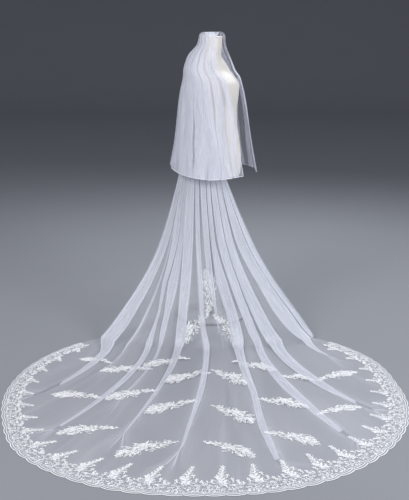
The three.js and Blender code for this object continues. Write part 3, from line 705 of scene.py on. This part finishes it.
# %% Fold tables
TRAIN_FOLDS = [
    # way, height, and the row, left edge and right edge at some rows of the train
    (1, 0.5, [(8, 0, 0.115), (10.4, 0, 0.1), (12, 0, 0.078), (13.2, 0, 0.07), (15, 0.016, 0.078),
        (16.4, 0.052, 0.08), (17.4, 0.08, 0.08)]),
    (1, 1.0, [(8, 0.118, 0.226), (10.4, 0.104, 0.203), (12, 0.082, 0.16), (13.2, 0.074, 0.15),
        (15, 0.078, 0.143), (17, 0.066, 0.134), (18.5, 0.086, 0.137), (20.5, 0.12, 0.143),
        (21.6, 0.136, 0.147), (22.3, 0.142, 0.147), (22.9, 0.146, 0.146)]),
    (-1, 0.5, [(8, 0.228, 0.243), (10.4, 0.213, 0.232), (13.2, 0.2, 0.212), (17, 0.182, 0.19),
        (20.5, 0.176, 0.178), (21, 0.177, 0.177)]),
    (1, 0.9, [(8, 0.246, 0.3), (10.4, 0.247, 0.3), (12, 0.24, 0.262), (13.2, 0.26, 0.27),
        (17, 0.255, 0.28), (20.7, 0.26, 0.275), (22, 0.262, 0.267), (22.6, 0.265, 0.265)]),
    (1, 0.5, [(8, 0.302, 0.342), (10.4, 0.302, 0.34), (12, 0.275, 0.338), (13.2, 0.292, 0.32),
        (17, 0.303, 0.314), (20.5, 0.3, 0.306), (21.4, 0.303, 0.303)]),
    (1, 0.9, [(8, 0.345, 0.428), (10.4, 0.344, 0.422), (12, 0.35, 0.41), (13.2, 0.357, 0.4),
        (17, 0.362, 0.395), (20.3, 0.364, 0.374), (21.5, 0.366, 0.37), (22, 0.368, 0.368)]),
    (-1, 1.0, [(8, 0.431, 0.476), (10.4, 0.44, 0.475), (12, 0.45, 0.48), (13.2, 0.456, 0.476),
        (17, 0.466, 0.49), (20.2, 0.471, 0.488), (21.2, 0.471, 0.478), (22, 0.473, 0.476),
        (22.5, 0.474, 0.474)]),
    (-1, 0.4, [(8, 0.479, 0.54), (10.4, 0.497, 0.543), (12, 0.507, 0.54), (13.2, 0.524, 0.534),
        (15, 0.53, 0.53)]),
    (-1, 0.9, [(8, 0.543, 0.592), (10.4, 0.546, 0.584), (12, 0.552, 0.623), (13.2, 0.573, 0.632),
        (17, 0.568, 0.618), (20.3, 0.588, 0.604), (21.3, 0.577, 0.59), (22.2, 0.58, 0.584),
        (22.8, 0.582, 0.582)]),
    (-1, 0.6, [(8, 0.595, 0.676), (10.4, 0.6, 0.678), (12, 0.637, 0.698), (13.2, 0.65, 0.7),
        (17, 0.665, 0.7), (20.5, 0.667, 0.697), (21.9, 0.679, 0.689), (22.4, 0.684, 0.688),
        (22.8, 0.687, 0.687)]),
    (-1, 1.0, [(8, 0.679, 0.757), (10.4, 0.681, 0.752), (12, 0.702, 0.77), (13.2, 0.708, 0.775),
        (17, 0.723, 0.792), (20.5, 0.75, 0.782), (21.2, 0.756, 0.78), (21.8, 0.769, 0.778),
        (22.4, 0.776, 0.779), (22.8, 0.779, 0.779)]),
    (-1, 0.7, [(8, 0.76, 0.87), (10.4, 0.77, 0.865), (12, 0.815, 0.885), (13.2, 0.818, 0.9),
        (15, 0.84, 0.905), (17, 0.862, 0.915), (20, 0.882, 0.903), (21.3, 0.891, 0.9),
        (22.2, 0.898, 0.901), (22.6, 0.9, 0.9)]),
    (1, 0.6, [(8, 0.873, 0.985), (10.4, 0.868, 0.96), (12, 0.888, 0.95), (13.2, 0.903, 0.98),
        (15, 0.91, 0.965), (16.4, 0.92, 0.945), (17.4, 0.94, 0.94)]),
]
TRAIN_WOBBLE = 0.0022
TRAIN_EACH = 40
# Where a fold's path turns on its way across, and the layer that it lies on there
TURNS = (0, 0.12, 0.36, 0.4, 0.6, 0.64, 0.88, 1)
TURN_LAYERS = (0, 0, 0, 0.5, 0.5, 1, 1, 0)
print("train folds:", len(TRAIN_FOLDS))


# %% Fold sheet
SHOWN = 0.005
CREASES, CREASE_WIDE = (0.38, 0.62), 0.03


def fold_sheet(left, right, ways, each):
    """Walks over the cloth from edge to edge in Z folds. left and right hold each fold's edges at
    every row. Gives the place across, layer, fullness and crease of each column at each row."""
    low = np.vstack([0 * left[:1], (right[:-1] + left[1:]) / 2])
    high = np.vstack([low[1:], 1 + 0 * left[:1]])
    t = np.arange(each) / each
    share = np.array([np.interp(t, TURNS, line) for line in np.eye(len(TURNS))])
    crease = sum(np.exp(-(((t - middle) / CREASE_WIDE) ** 2)) for middle in CREASES)
    inside = smoothstep(0.08, 0.15, t) * (1 - smoothstep(0.85, 0.92, t))
    parts = []
    for k, way in enumerate(ways):
        stops = [low[k], left[k], right[k], right[k], left[k], left[k], right[k], high[k]]
        flat = low[k][:, None] + (high[k] - low[k])[:, None] * t
        shut = smoothstep(0, SHOWN, right[k] - left[k])[:, None]
        across = flat * (1 - shut) + (np.stack(stops).T @ share) * shut
        layer = np.interp(t, TURNS, TURN_LAYERS[::way])
        parts.append((across, layer * shut, inside * shut, crease * shut))
    ends = [np.full((left.shape[1], 1), end) for end in (1.0, 0, 0, 1)]
    sheet = [np.hstack([part[i] for part in parts] + [end]) for i, end in enumerate(ends)]
    for grid in sheet[:2]:
        for _ in range(2):
            grid[:, 1:-1] = (grid[:, :-2] + grid[:, 1:-1] + grid[:, 2:]) / 3
    return sheet


print("columns across the folded train:", len(TRAIN_FOLDS) * TRAIN_EACH + 1)


# %% [markdown]
# ## The train's sheet
# A cloth simulation could fold the net, but it wouldn't put each fold where the real one lies. So
# the folds are worked out, and a grid takes the shape: its columns walk through the folds, and
# its rows run from the comb to the hem. Small uneven waves keep the net from looking pressed.

# %% Helpers for both sheets
def at_columns(grid, across):
    """Reads a grid of points at one place across for each row and column."""
    rows = np.arange(grid.shape[0])[:, None]
    spot = np.clip(across, 0, 1) * (grid.shape[1] - 1)
    low = np.clip(np.floor(spot).astype(int), 0, grid.shape[1] - 2)
    share = (spot - low)[..., None]
    return grid[rows, low] * (1 - share) + grid[rows, low + 1] * share


def ripples(across, down, seed, counts):
    """Uneven waves across the cloth, whose crests wander and swell on the way down."""
    rng = np.random.default_rng(seed)
    total = 0
    for count in counts:
        phase, drift, beat = rng.uniform(0, 6.28), rng.uniform(-2.5, 2.5), rng.uniform(2, 5)
        wave = np.sin(2 * math.pi * count * across + phase + drift * down)
        total = total + wave * (0.6 + 0.4 * np.sin(beat * down + phase))
    return total / len(counts)


def gathered(across, down, reach):
    """How tightly the net is drawn together near the comb, as fine upright lines."""
    lines = 0.5 + 0.5 * ripples(across, down, 3, (47, 66, 91))
    return np.exp(-((down / reach) ** 2)) * (0.35 + lines)


def cut_map(points, width):
    """Each point's place in the flat cut, in metres: across it, and up from the hem."""
    steps = np.linalg.norm(np.diff(points, axis=0), axis=2) * MM
    last = np.zeros((1, steps.shape[1]))
    from_hem = np.concatenate([np.cumsum(steps[::-1], axis=0)[::-1], last])
    return np.stack([np.linspace(0, width, points.shape[1])[None, :] + 0 * from_hem, from_hem], -1)


def per_column(values, each):
    """One value for each fold, repeated for its columns and once more for the last edge."""
    values = np.repeat(values, each, axis=-1)
    return np.concatenate([values, values[..., -1:]], axis=-1)


print("a fold's value on its columns:", per_column([0.5, 1.0], 2).tolist())

# %% Train sheet
SLIM_FOLD = 0.024
SMALL_WAVES, SMALL_WAVES_MOST = 0.14, 2.2


def train_sheet():
    left, right = (
        np.array([
            np.interp(row_place, [row[0] for row in rows], [row[edge] for row in rows])
            for _, _, rows in TRAIN_FOLDS
        ])
        for edge in (1, 2)
    )
    wide = smoothstep(0.01, 0.03, right - left)
    sway = ripples(left, row_place[None, :] / 4, 9, (5, 9)) * TRAIN_WOBBLE * wide
    left, right = np.clip(left + sway, 0, 1), np.clip(right + sway[:, ::-1] * 0.6, 0, 1)
    ways = [fold[0] for fold in TRAIN_FOLDS]
    folded, layer, full, crease = fold_sheet(left, right, ways, TRAIN_EACH)
    flat = np.linspace(0, 1, folded.shape[1])[None, :]
    down = (row_place / row_place[-1])[:, None]
    shut = 0.35 + 0.65 * smoothstep(0, 8, row_place)[:, None]
    across = flat * (1 - shut) + folded * shut
    # A fold lies lower where it is narrow, so its tail ends flat on the floor.
    heights = np.array([fold[1] for fold in TRAIN_FOLDS])[:, None]
    tall = per_column((heights * smoothstep(0, SLIM_FOLD, right - left)).T, TRAIN_EACH)
    soft = np.maximum(0, 0.35 + ripples(across, down * 6, 5, (11, 17, 23, 31)))
    rise = TRAIN_LIFT[:, None]
    lift = rise * tall * layer + soft * np.minimum(rise * SMALL_WAVES, SMALL_WAVES_MOST)
    points = at_columns(TRAIN_PLAIN, across) + at_columns(TRAIN_NORMAL, across) * lift[..., None]
    points[..., 2] = np.maximum(points[..., 2], FLOOR_MID)
    numbers = {"full": full, "crease": crease + gathered(across, down, 0.05)}
    return grid_piece("train", points, cut_map(points, TRAIN_CUT[0]), numbers=numbers)


train = dress(train_sheet(), train_finish, "veil_train")
print("train faces:", len(train.data.polygons), "area:", round(area_of(train), 2))

# %% [markdown]
# ## The upper tier
# The short tier is gathered on the same comb and falls like an open cape. It could be a loft of
# rings with waves in them, but its folds overlap as the train's do. So it is a grid of rings that
# walks through folds too, and they deepen from the comb to the hem.

# %% Upper tier tables
UPPER_RINGS = np.array([
    # height, width, depth, forward, fold
    (CAP_TOP + 4, 48, 7.5, 0, 0), (CAP_TOP + 23, 60, 34, 0, 0.8), (CAP_TOP + 12, 71, 63, 0, 1),
    (1500, 82, 71, -4, 1.6), (1435, 142, 98, -20, 3), (1370, 192, 108, -16, 4),
    (1318, 198, 134, 0, 4.5), (1252, 205, 153, 2, 6), (1156, 212, 170, 5, 8),
    (1000, 228, 193, 8, 9), (850, 245, 220, 11, 12), (790, 252, 229, 12, 12),
])
UPPER_LEVELS = 16
UPPER_STEPS = (3, 4, 5, 6, 6, 6, 6)
UPPER_FREE_STEPS = 48
UPPER_OPENING = np.array([
    # height, near edge, far edge
    (1570, -40, 25), (1400, -25, 24), (1280, -20, 22), (800, -16, 20),
])
UPPER_HEM = np.array([
    # angle, height
    (-340, 822), (-270, 838), (-220, 858), (-165, 868), (-130, 850), (-90, 826), (-60, 815),
    (-16, 822),
])
UPPER_EACH = 30
UPPER_SWAY = 0.014
UPPER_FOLDS = np.array([
    # left edge, right edge, height, way, at the hem
    (0.004, 0.045, 0.5, 1), (0.085, 0.138, 0.7, -1), (0.165, 0.225, 0.5, 1),
    (0.235, 0.318, 0.7, -1), (0.31, 0.4, 0.6, 1), (0.39, 0.48, 0.7, 1), (0.47, 0.555, 0.6, -1),
    (0.552, 0.612, 0.9, -1), (0.604, 0.665, 0.7, 1), (0.66, 0.738, 0.6, 1), (0.722, 0.79, 0.8, 1),
    (0.782, 0.852, 0.6, 1), (0.838, 0.898, 0.8, -1), (0.893, 0.948, 0.6, -1),
    (0.958, 0.992, 0.4, 1),
])
print("upper tier folds:", len(UPPER_FOLDS))


# %% Upper tier's folds
def upper_folds(down):
    """The folds are even at the comb and drift to their own places at the hem."""
    near_hem = smoothstep(0.02, 0.75, down)[None, :]
    hem_left, hem_right = UPPER_FOLDS[:, :1], UPPER_FOLDS[:, 1:2]
    middles = (hem_right[:-1] + hem_left[1:]) / 2
    left = hem_left * near_hem + (np.vstack([[[0]], middles]) + 0.001) * (1 - near_hem)
    right = hem_right * near_hem + (np.vstack([middles, [[1]]]) - 0.001) * (1 - near_hem)
    sway = ripples(hem_left, down[None, :] * 4, 13, (3, 5)) * UPPER_SWAY * near_hem
    left, right = np.clip(left + sway, 0, 1), np.clip(right + sway, 0, 1)
    return fold_sheet(left, right, UPPER_FOLDS[:, 3].astype(int), UPPER_EACH)


print("columns across the upper tier:", len(UPPER_FOLDS) * UPPER_EACH + 1)


# %% Upper tier sheet
def upper_sheet():
    on_rings = [np.linspace(i, i + 1, n, endpoint=False) for i, n in enumerate(UPPER_STEPS)]
    shoulder = len(UPPER_STEPS)
    levels = np.concatenate(on_rings + [[float(shoulder)]])
    free = np.linspace(0, 1, UPPER_FREE_STEPS + 1)[1:, None]
    above = shoulder / UPPER_LEVELS
    down = np.concatenate([levels / UPPER_LEVELS, above + free[:, 0] * (1 - above)])
    folded, layer, full, crease = upper_folds(down)
    flat = np.linspace(0, 1, folded.shape[1])[None, :]
    down = down[:, None]
    shut = smoothstep(0.0, 0.3, down)
    across = flat * (1 - shut) + folded * shut
    first, last = UPPER_HEM[0, 0], UPPER_HEM[-1, 0]
    hem = through(UPPER_HEM[:, 0], UPPER_HEM[:, 1], first + (last - first) * across[-1])
    keys = np.arange(shoulder + 1)
    rings = UPPER_RINGS[:shoulder + 1]
    shoulders = [through(keys, rings[:, k], levels)[:, None] + 0 * flat for k in range(5)]
    height = rings[-1, 0] * (1 - free) + hem[None, :] * free
    tail = UPPER_RINGS[3:]
    fall = [height] + [through(tail[:, 0], tail[:, k], height) for k in range(1, 5)]
    height, width, depth, forward, fold = (np.vstack(pair) for pair in zip(shoulders, fall))
    near = through(UPPER_OPENING[:, 0], UPPER_OPENING[:, 1], height)
    far = through(UPPER_OPENING[:, 0], UPPER_OPENING[:, 2], height) - 360
    angle = far * (1 - across) + near * across
    tall = per_column(UPPER_FOLDS[:, 2], UPPER_EACH)[None, :]
    waves = ripples(across, down * 3, 11, (9, 14, 21, 34))
    gathers = ripples(across, down * 2, 7, (60, 83)) * np.exp(-((down / 0.12) ** 2)) * 1.6
    out = fold * (0.55 * waves + 0.9 * tall * layer) + gathers * np.minimum(1, down * 40)
    points = ring_points(width, depth, forward, height, angle, out)
    numbers = {"full": full, "crease": crease + gathered(across, down, 0.1)}
    return grid_piece("upper_tier", points, cut_map(points, UPPER_CUT[0]), numbers=numbers)


upper = dress(upper_sheet(), upper_finish, "veil_upper_tier")
print("upper tier faces:", len(upper.data.polygons), "area:", round(area_of(upper), 2))

# %% [markdown]
# ## Lace
# The lace is embroidered: petals and leaves stand up a little from the net, and fine cords run
# between them. A bump in a material would stay flat from the side, so each petal is a small fan
# with a raised middle, and each cord a strip with a raised middle.

# %% Petals and cords
def petal(bm, x, y, turn, length, width, rise=0.0012, sides=8, tip=0.75):
    """A fan with a raised middle that narrows to its root and its tip."""
    disc = bmesh.ops.create_circle(bm, cap_ends=True, cap_tris=True, segments=sides, radius=1)
    place = Matrix.Translation((x, y, 0)) @ Matrix.Rotation(turn, 4, "Z")
    for vert in disc["verts"]:
        u, v = (vert.co.x + 1) / 2, vert.co.y
        middle = vert.co.xy.length < 0.5
        narrow = 1 - tip * max(0.0, u - 0.45) / 0.55 - 0.3 * max(0.0, 0.35 - u) / 0.35
        vert.co = place @ Vector((u * length, v * width / 2 * narrow, rise if middle else 0.0))


def cord(bm, path, width, rise=0.0012):
    """A flat cord with a raised middle, along a few points."""
    last = len(path) - 1
    strip = bmesh.ops.create_grid(bm, x_segments=last, y_segments=2, size=0.5)
    path = [Vector((*p, 0)) for p in path]
    for vert in strip["verts"]:
        i = round((vert.co.x + 0.5) * last)
        side = vert.co.y * 2
        ahead = path[min(i + 1, last)] - path[max(i - 1, 0)]
        across = Vector((-ahead.y, ahead.x, 0)).normalized()
        up = Vector((0, 0, rise if abs(side) < 0.5 else 0.0))
        vert.co = path[i] + across * side * width / 2 + up


def loop(bm, x, y, turn, length, width, thick, rise=0.001):
    """An outlined leaf: a cord that runs out, round a pointed end, and back."""
    c, s = math.cos(turn), math.sin(turn)
    path = []
    for k in range(9):
        t = k / 8
        along = 1 - abs(2 * t - 1) ** 1.3
        aside = math.sin(2 * math.pi * t) * (1 - 0.35 * along)
        u, v = along * length, aside * width / 2
        path.append((x + u * c - v * s, y + u * s + v * c))
    cord(bm, path, thick, rise)


print("lace shapes:", petal.__name__, cord.__name__, loop.__name__)


# %% Flowers
def star(bm, x, y, radius, turn, rise):
    for k in range(5):
        petal(bm, x, y, turn + 2 * math.pi * k / 5, radius, radius * 0.5, rise, 6, 0.8)


def rosette(bm, x, y, radius, rng, rise=0.0014):
    """A curled flower: a spiral cord inside a ring of rounded petals."""
    start = rng.uniform(0, 6.28)
    spiral = [(start + 0.62 * k, radius * (0.14 + 0.052 * k)) for k in range(12)]
    path = [(x + r * math.cos(a), y + r * math.sin(a)) for a, r in spiral]
    cord(bm, path, radius * 0.16, rise)
    away = radius * 0.66
    for k in range(8):
        way = start + 2 * math.pi * k / 8 + rng.uniform(-0.15, 0.15)
        at_x, at_y = x + away * math.cos(way), y + away * math.sin(way)
        lean = way + rng.uniform(-0.4, 0.4)
        loop(bm, at_x, at_y, lean, radius * 0.55, radius * 0.5, radius * 0.14, rise * 0.7)


print("flower shapes:", star.__name__, rosette.__name__)

# %% Lace spray pattern
SPRAY_SEEDS = (3, 8, 21)
SPRAY_KEYS = (-1, -0.6, -0.25, 0.1, 0.4, 0.7, 1)
SPRAY_UPPER = (0, 0.10, 0.24, 0.30, 0.34, 0.2, 0)
SPRAY_LOWER = (0, 0.12, 0.20, 0.36, 0.30, 0.22, 0)
SPRAY_FLOWERS = (
    # along, aside, radius
    (0.05, -0.035, 0.07), (0.20, 0.05, 0.075), (0.32, -0.04, 0.055), (-0.1, 0.03, 0.045),
)
SPRAY_LEAVES = 25
# Two rows of leaves on each side: how far out they start, and how far they may lean in degrees
LEAF_ROWS = ((0.15, 15, 45), (0.6, 5, 70))


def spray(seed):
    """One loose spray, 1 m long from end to end, that is scaled to each motif's length."""
    rng = random.Random(seed)
    bm = bmesh.new()
    cord(bm, [(-0.5 + k / 20, 0.015 * math.sin(k * 0.9)) for k in range(21)], 0.014, 0.006)
    for x, y, radius in SPRAY_FLOWERS:
        rosette(bm, x + rng.uniform(-0.01, 0.01), y, radius, rng, 0.008)
    for k in range(SPRAY_LEAVES):
        t = -0.96 + 1.92 * k / (SPRAY_LEAVES - 1)
        for side, edge in ((1, SPRAY_UPPER), (-1, SPRAY_LOWER)):
            half = float(np.interp(t, SPRAY_KEYS, edge)) / 2
            for reach, low, high in LEAF_ROWS:
                lean = side * math.radians(rng.uniform(low, high))
                way = lean if rng.random() < (t + 0.75) / 1.1 else math.pi - lean
                x, y = t / 2 + rng.uniform(-0.012, 0.012), side * half * reach
                size = 0.04 + half * rng.uniform(0.2, 0.65)
                if rng.random() < 0.45:
                    petal(bm, x, y, way, size, size * 0.32, 0.007, 6)
                elif rng.random() < 0.7:
                    loop(bm, x, y, way, size * 1.2, size * 0.5, 0.008, 0.006)
    for k in range(6):
        aside = rng.choice((-1, 1)) * rng.uniform(0.03, 0.06)
        star(bm, -0.40 + 0.16 * k, aside, 0.04, rng.uniform(0, 1), 0.008)
    return finish_mesh(bm, f"spray_{seed}")


sprays = [spray(seed) for seed in SPRAY_SEEDS]
print("spray faces:", [len(s.polygons) for s in sprays])

# %% [markdown]
# ## Sprays on the train
# The loose sprays are cut out of lace and sewn on one by one, so each is a piece of its own. A
# Shrinkwrap modifier could lay them on the net, but it would take the nearest layer. A ray that
# stops at the lowest layer keeps each spray under the folds that cross it.

# %% Lay the sprays on the train
HANGING = [
    # name, across, height, turn, length
    ("hanging_middle", 0.506, 240, 94, 240), ("hanging_left", 0.42, 58, 232, 225),
    ("hanging_right", 0.57, 54, -54, 225),
]
LYING = [
    # name, x, y, turn, length
    ("inner_1", -570, -715, 160, 170), ("inner_2", -412, -830, 185, 240),
    ("inner_3", -226, -735, 203, 235), ("inner_4", 207, -790, -28, 235),
    ("inner_5", 392, -938, -20, 165), ("inner_6", 572, -912, 30, 225),
    ("middle_1", -128, -932, 212, 245), ("middle_2", 82, -930, -52, 250),
    ("middle_3", -365, -1125, 205, 245), ("middle_4", -606, -1140, 170, 225),
    ("middle_5", 300, -1218, -24, 235), ("middle_6", 530, -1295, 22, 205),
    ("outer_1", -192, -1262, 210, 250), ("outer_2", 84, -1335, -48, 245),
    ("outer_3", -516, -1488, 192, 240), ("outer_4", 315, -1558, -28, 235),
    ("outer_5", -268, -1650, 208, 260), ("outer_6", 60, -1655, -34, 230),
]
SPRAY_RISE, SPRAY_BEND = 0.22, 0.16
OVER_NET = 0.0009
train_tree = BVHTree.FromPolygons(
    [v.co for v in train.data.vertices], [list(f.vertices) for f in train.data.polygons],
)


def on_net(point, normal, lift, below=0.06, reach=0.16):
    """The lowest layer of the net over a place, and a height over it."""
    hit = train_tree.ray_cast(point - normal * below, normal, reach)[0]
    return (hit if hit is not None else point) + normal * (lift + OVER_NET)


def lying_frame(x, y):
    """The middle of a spray, its two ways in the cloth, and the way out of the cloth."""
    return Vector((x * MM, y * MM, 0)), Vector((1, 0, 0)), Vector((0, 1, 0)), Vector((0, 0, 1))


def hanging_frame(across, height):
    column = round(across * PLAIN_COLUMNS)
    heights = TRAIN_PLAIN[:, column, 2]
    row = max(i for i in range(len(heights)) if heights[i] >= height)
    normal = Vector(TRAIN_NORMAL[row, max(column - 20, 0):column + 21].mean(axis=0)).normalized()
    side = Vector((0, 0, 1)).cross(normal).normalized()
    return Vector(TRAIN_PLAIN[row, column] * MM), side, normal.cross(side), normal


def motif_piece(pattern, name, middle, side, rise, normal, turn, length):
    bm = bmesh.new()
    bm.from_mesh(pattern)
    c, s = math.cos(math.radians(turn)), math.sin(math.radians(turn))
    # A spray that points to the right is mirrored, so the two sides of the train match.
    flip = 1 if c < 0 else -1
    long = length * MM
    for vert in bm.verts:
        x, y, z = vert.co.x * long, vert.co.y * long, vert.co.z * SPRAY_RISE
        y = (y + SPRAY_BEND * long / 2 * ((2 * x / long) ** 2 - 0.3)) * flip
        spot = middle + side * (x * c - y * s) + rise * (x * s + y * c)
        vert.co = on_net(spot, normal, z)
    if flip < 0:
        bmesh.ops.reverse_faces(bm, faces=bm.faces[:])
    piece = link(finish_mesh(bm, f"motif_{name}_lace"), f"motif_{name}_lace")
    return dress(piece, lace_finish, f"motif_{name}")


motifs = []
for rows, frame_at in ((HANGING, hanging_frame), (LYING, lying_frame)):
    for name, *place, turn, length in rows:
        pattern = sprays[len(motifs) % len(sprays)]
        motifs.append(motif_piece(pattern, name, *frame_at(*place), turn, length))
print("motifs:", len(motifs), "faces:", sum(len(m.data.polygons) for m in motifs))

# %% [markdown]
# ## The border
# The border is one long edging with corded scallops, a dense band of flowers and leaves, and a
# leafy spray in each repeat. An Array modifier could repeat it along a curve, but every repeat
# would be the same. So two repeats are built flat, and copies of them are bent along the hem.

# %% Border pattern
BORDER_REPEATS = 28
BORDER_SPAN = 137
BORDER_PITCH = 0.152
BORDER_DEPTH = np.array([
    # angle, share of the full depth
    (-137, 0.42), (-100, 0.55), (-75, 0.64), (-50, 0.78), (-20, 0.95), (10, 1), (35, 0.95),
    (60, 0.8), (90, 0.66), (137, 0.42),
])
EDGE_CORDS = ((0.001, 0.0052), (0.0125, 0.0046), (0.021, 0.0016))
EDGE_LEAVES = 11
BORDER_FLOWERS = (
    # share of the pitch, depth, radius
    (0.23, 0.046, 0.022), (0.74, 0.050, 0.020), (0.49, 0.079, 0.014), (0.0, 0.076, 0.012),
)
FILL_ROWS, FILL_COLUMNS = 4, 9
STEM = (
    # share of the pitch, depth
    (0.50, 0.085), (0.47, 0.105), (0.46, 0.125), (0.49, 0.145), (0.53, 0.165), (0.57, 0.185),
    (0.60, 0.20),
)
TIP_STAR = (0.60, 0.204, 0.017)
BORDER_STARS = ((0.33, 0.128), (0.68, 0.142), (0.22, 0.105), (0.78, 0.112), (0.92, 0.098))
print("border pitch, m:", BORDER_PITCH, "along the hem:", BORDER_REPEATS * BORDER_PITCH)

# %% Parts of one repeat
def border_edge(bm, rng):
    for inset, width in EDGE_CORDS:
        bows = [(k / 24, abs(math.sin(2 * math.pi * k / 24))) for k in range(25)]
        cord(bm, [(t * BORDER_PITCH, inset - 0.008 * bow**0.7) for t, bow in bows], width)
    for k in range(EDGE_LEAVES):
        way = math.pi / 2 + rng.uniform(-0.6, 0.6)
        loop(bm, (k + 0.5) / EDGE_LEAVES * BORDER_PITCH, 0.016, way, 0.011, 0.009, 0.0016)


def border_band(bm, rng):
    for x, y, radius in BORDER_FLOWERS:
        rosette(bm, x * BORDER_PITCH, y, radius, rng)
    for row in range(FILL_ROWS):
        for k in range(FILL_COLUMNS):
            x = (k + rng.uniform(0.1, 0.9)) / FILL_COLUMNS * BORDER_PITCH
            y = 0.028 + row * 0.019 + rng.uniform(-0.005, 0.005)
            gaps = (math.hypot(x - fx * BORDER_PITCH, y - fy) / r for fx, fy, r in BORDER_FLOWERS)
            if min(gaps) < 0.9:
                continue
            way, size = rng.uniform(0, 6.28), rng.uniform(0.014, 0.021)
            if rng.random() < 0.5:
                petal(bm, x, y, way, size, size * 0.42)
            else:
                loop(bm, x, y, way, size, size * 0.5, 0.0018)


def border_spray(bm, rng):
    up = math.pi / 2
    cord(bm, [(x * BORDER_PITCH, y) for x, y in STEM], 0.003)
    for m, (x, y) in enumerate(STEM[:-1]):
        size = 0.032 - 0.0028 * m
        for side in (-1, 1):
            way = up - side * rng.uniform(0.6, 0.9)
            petal(bm, x * BORDER_PITCH, y, way, size, size * 0.4)
            way = up - side * rng.uniform(1.1, 1.5)
            loop(bm, x * BORDER_PITCH, y - 0.006, way, size, size * 0.45, 0.0022)
    x, y, radius = TIP_STAR
    star(bm, x * BORDER_PITCH, y, radius, rng.uniform(0, 1), 0.0012)
    for x, y in BORDER_STARS:
        star(bm, x * BORDER_PITCH, y, 0.012, rng.uniform(0, 1), 0.0012)
        petal(bm, x * BORDER_PITCH, y - 0.004, rng.uniform(-0.5, 0.5) - up, 0.02, 0.008)


print("flowers and stars in a repeat:", len(BORDER_FLOWERS) + len(BORDER_STARS) + 1)


# %% Border repeats
def border_repeat(seed):
    """One repeat of the border: X runs along the hem and Y in from it, in metres."""
    rng = random.Random(seed)
    bm = bmesh.new()
    border_edge(bm, rng)
    border_band(bm, rng)
    border_spray(bm, rng)
    return finish_mesh(bm, f"border_repeat_{seed}")


repeats = [border_repeat(seed) for seed in (2, 5)]
print("border repeat faces:", [len(mesh.polygons) for mesh in repeats])


# %% Border on the hem
BAND_DEPTH = 0.1


def border_piece():
    up = Vector((0, 0, 1))
    bm = bmesh.new()
    for i in range(BORDER_REPEATS):
        before = len(bm.verts)
        bm.from_mesh(repeats[i % 2])
        bm.verts.ensure_lookup_table()
        fresh = bm.verts[before:]
        local = np.array([v.co[:] for v in fresh])
        along = (i + local[:, 0] / BORDER_PITCH) / BORDER_REPEATS
        angle = -BORDER_SPAN + 2 * BORDER_SPAN * along
        share = through(BORDER_DEPTH[:, 0], BORDER_DEPTH[:, 1], angle)
        # The sprays shorten towards the ends of the hem faster than the band does.
        depth = local[:, 1] * np.where(local[:, 1] > BAND_DEPTH, share, np.sqrt(share))
        places = hem_points(angle, depth / MM) * MM
        places[:, 2] = FLOOR_MID * MM
        for vert, place, lift in zip(fresh, places, local[:, 2]):
            vert.co = on_net(Vector(place), up, lift, below=0.01, reach=0.05)
    bmesh.ops.reverse_faces(bm, faces=[f for f in bm.faces if f.normal.z < 0])
    return dress(link(finish_mesh(bm, "border"), "border"), lace_finish, "lace_border")


border = border_piece()
print("border faces:", len(border.data.polygons))
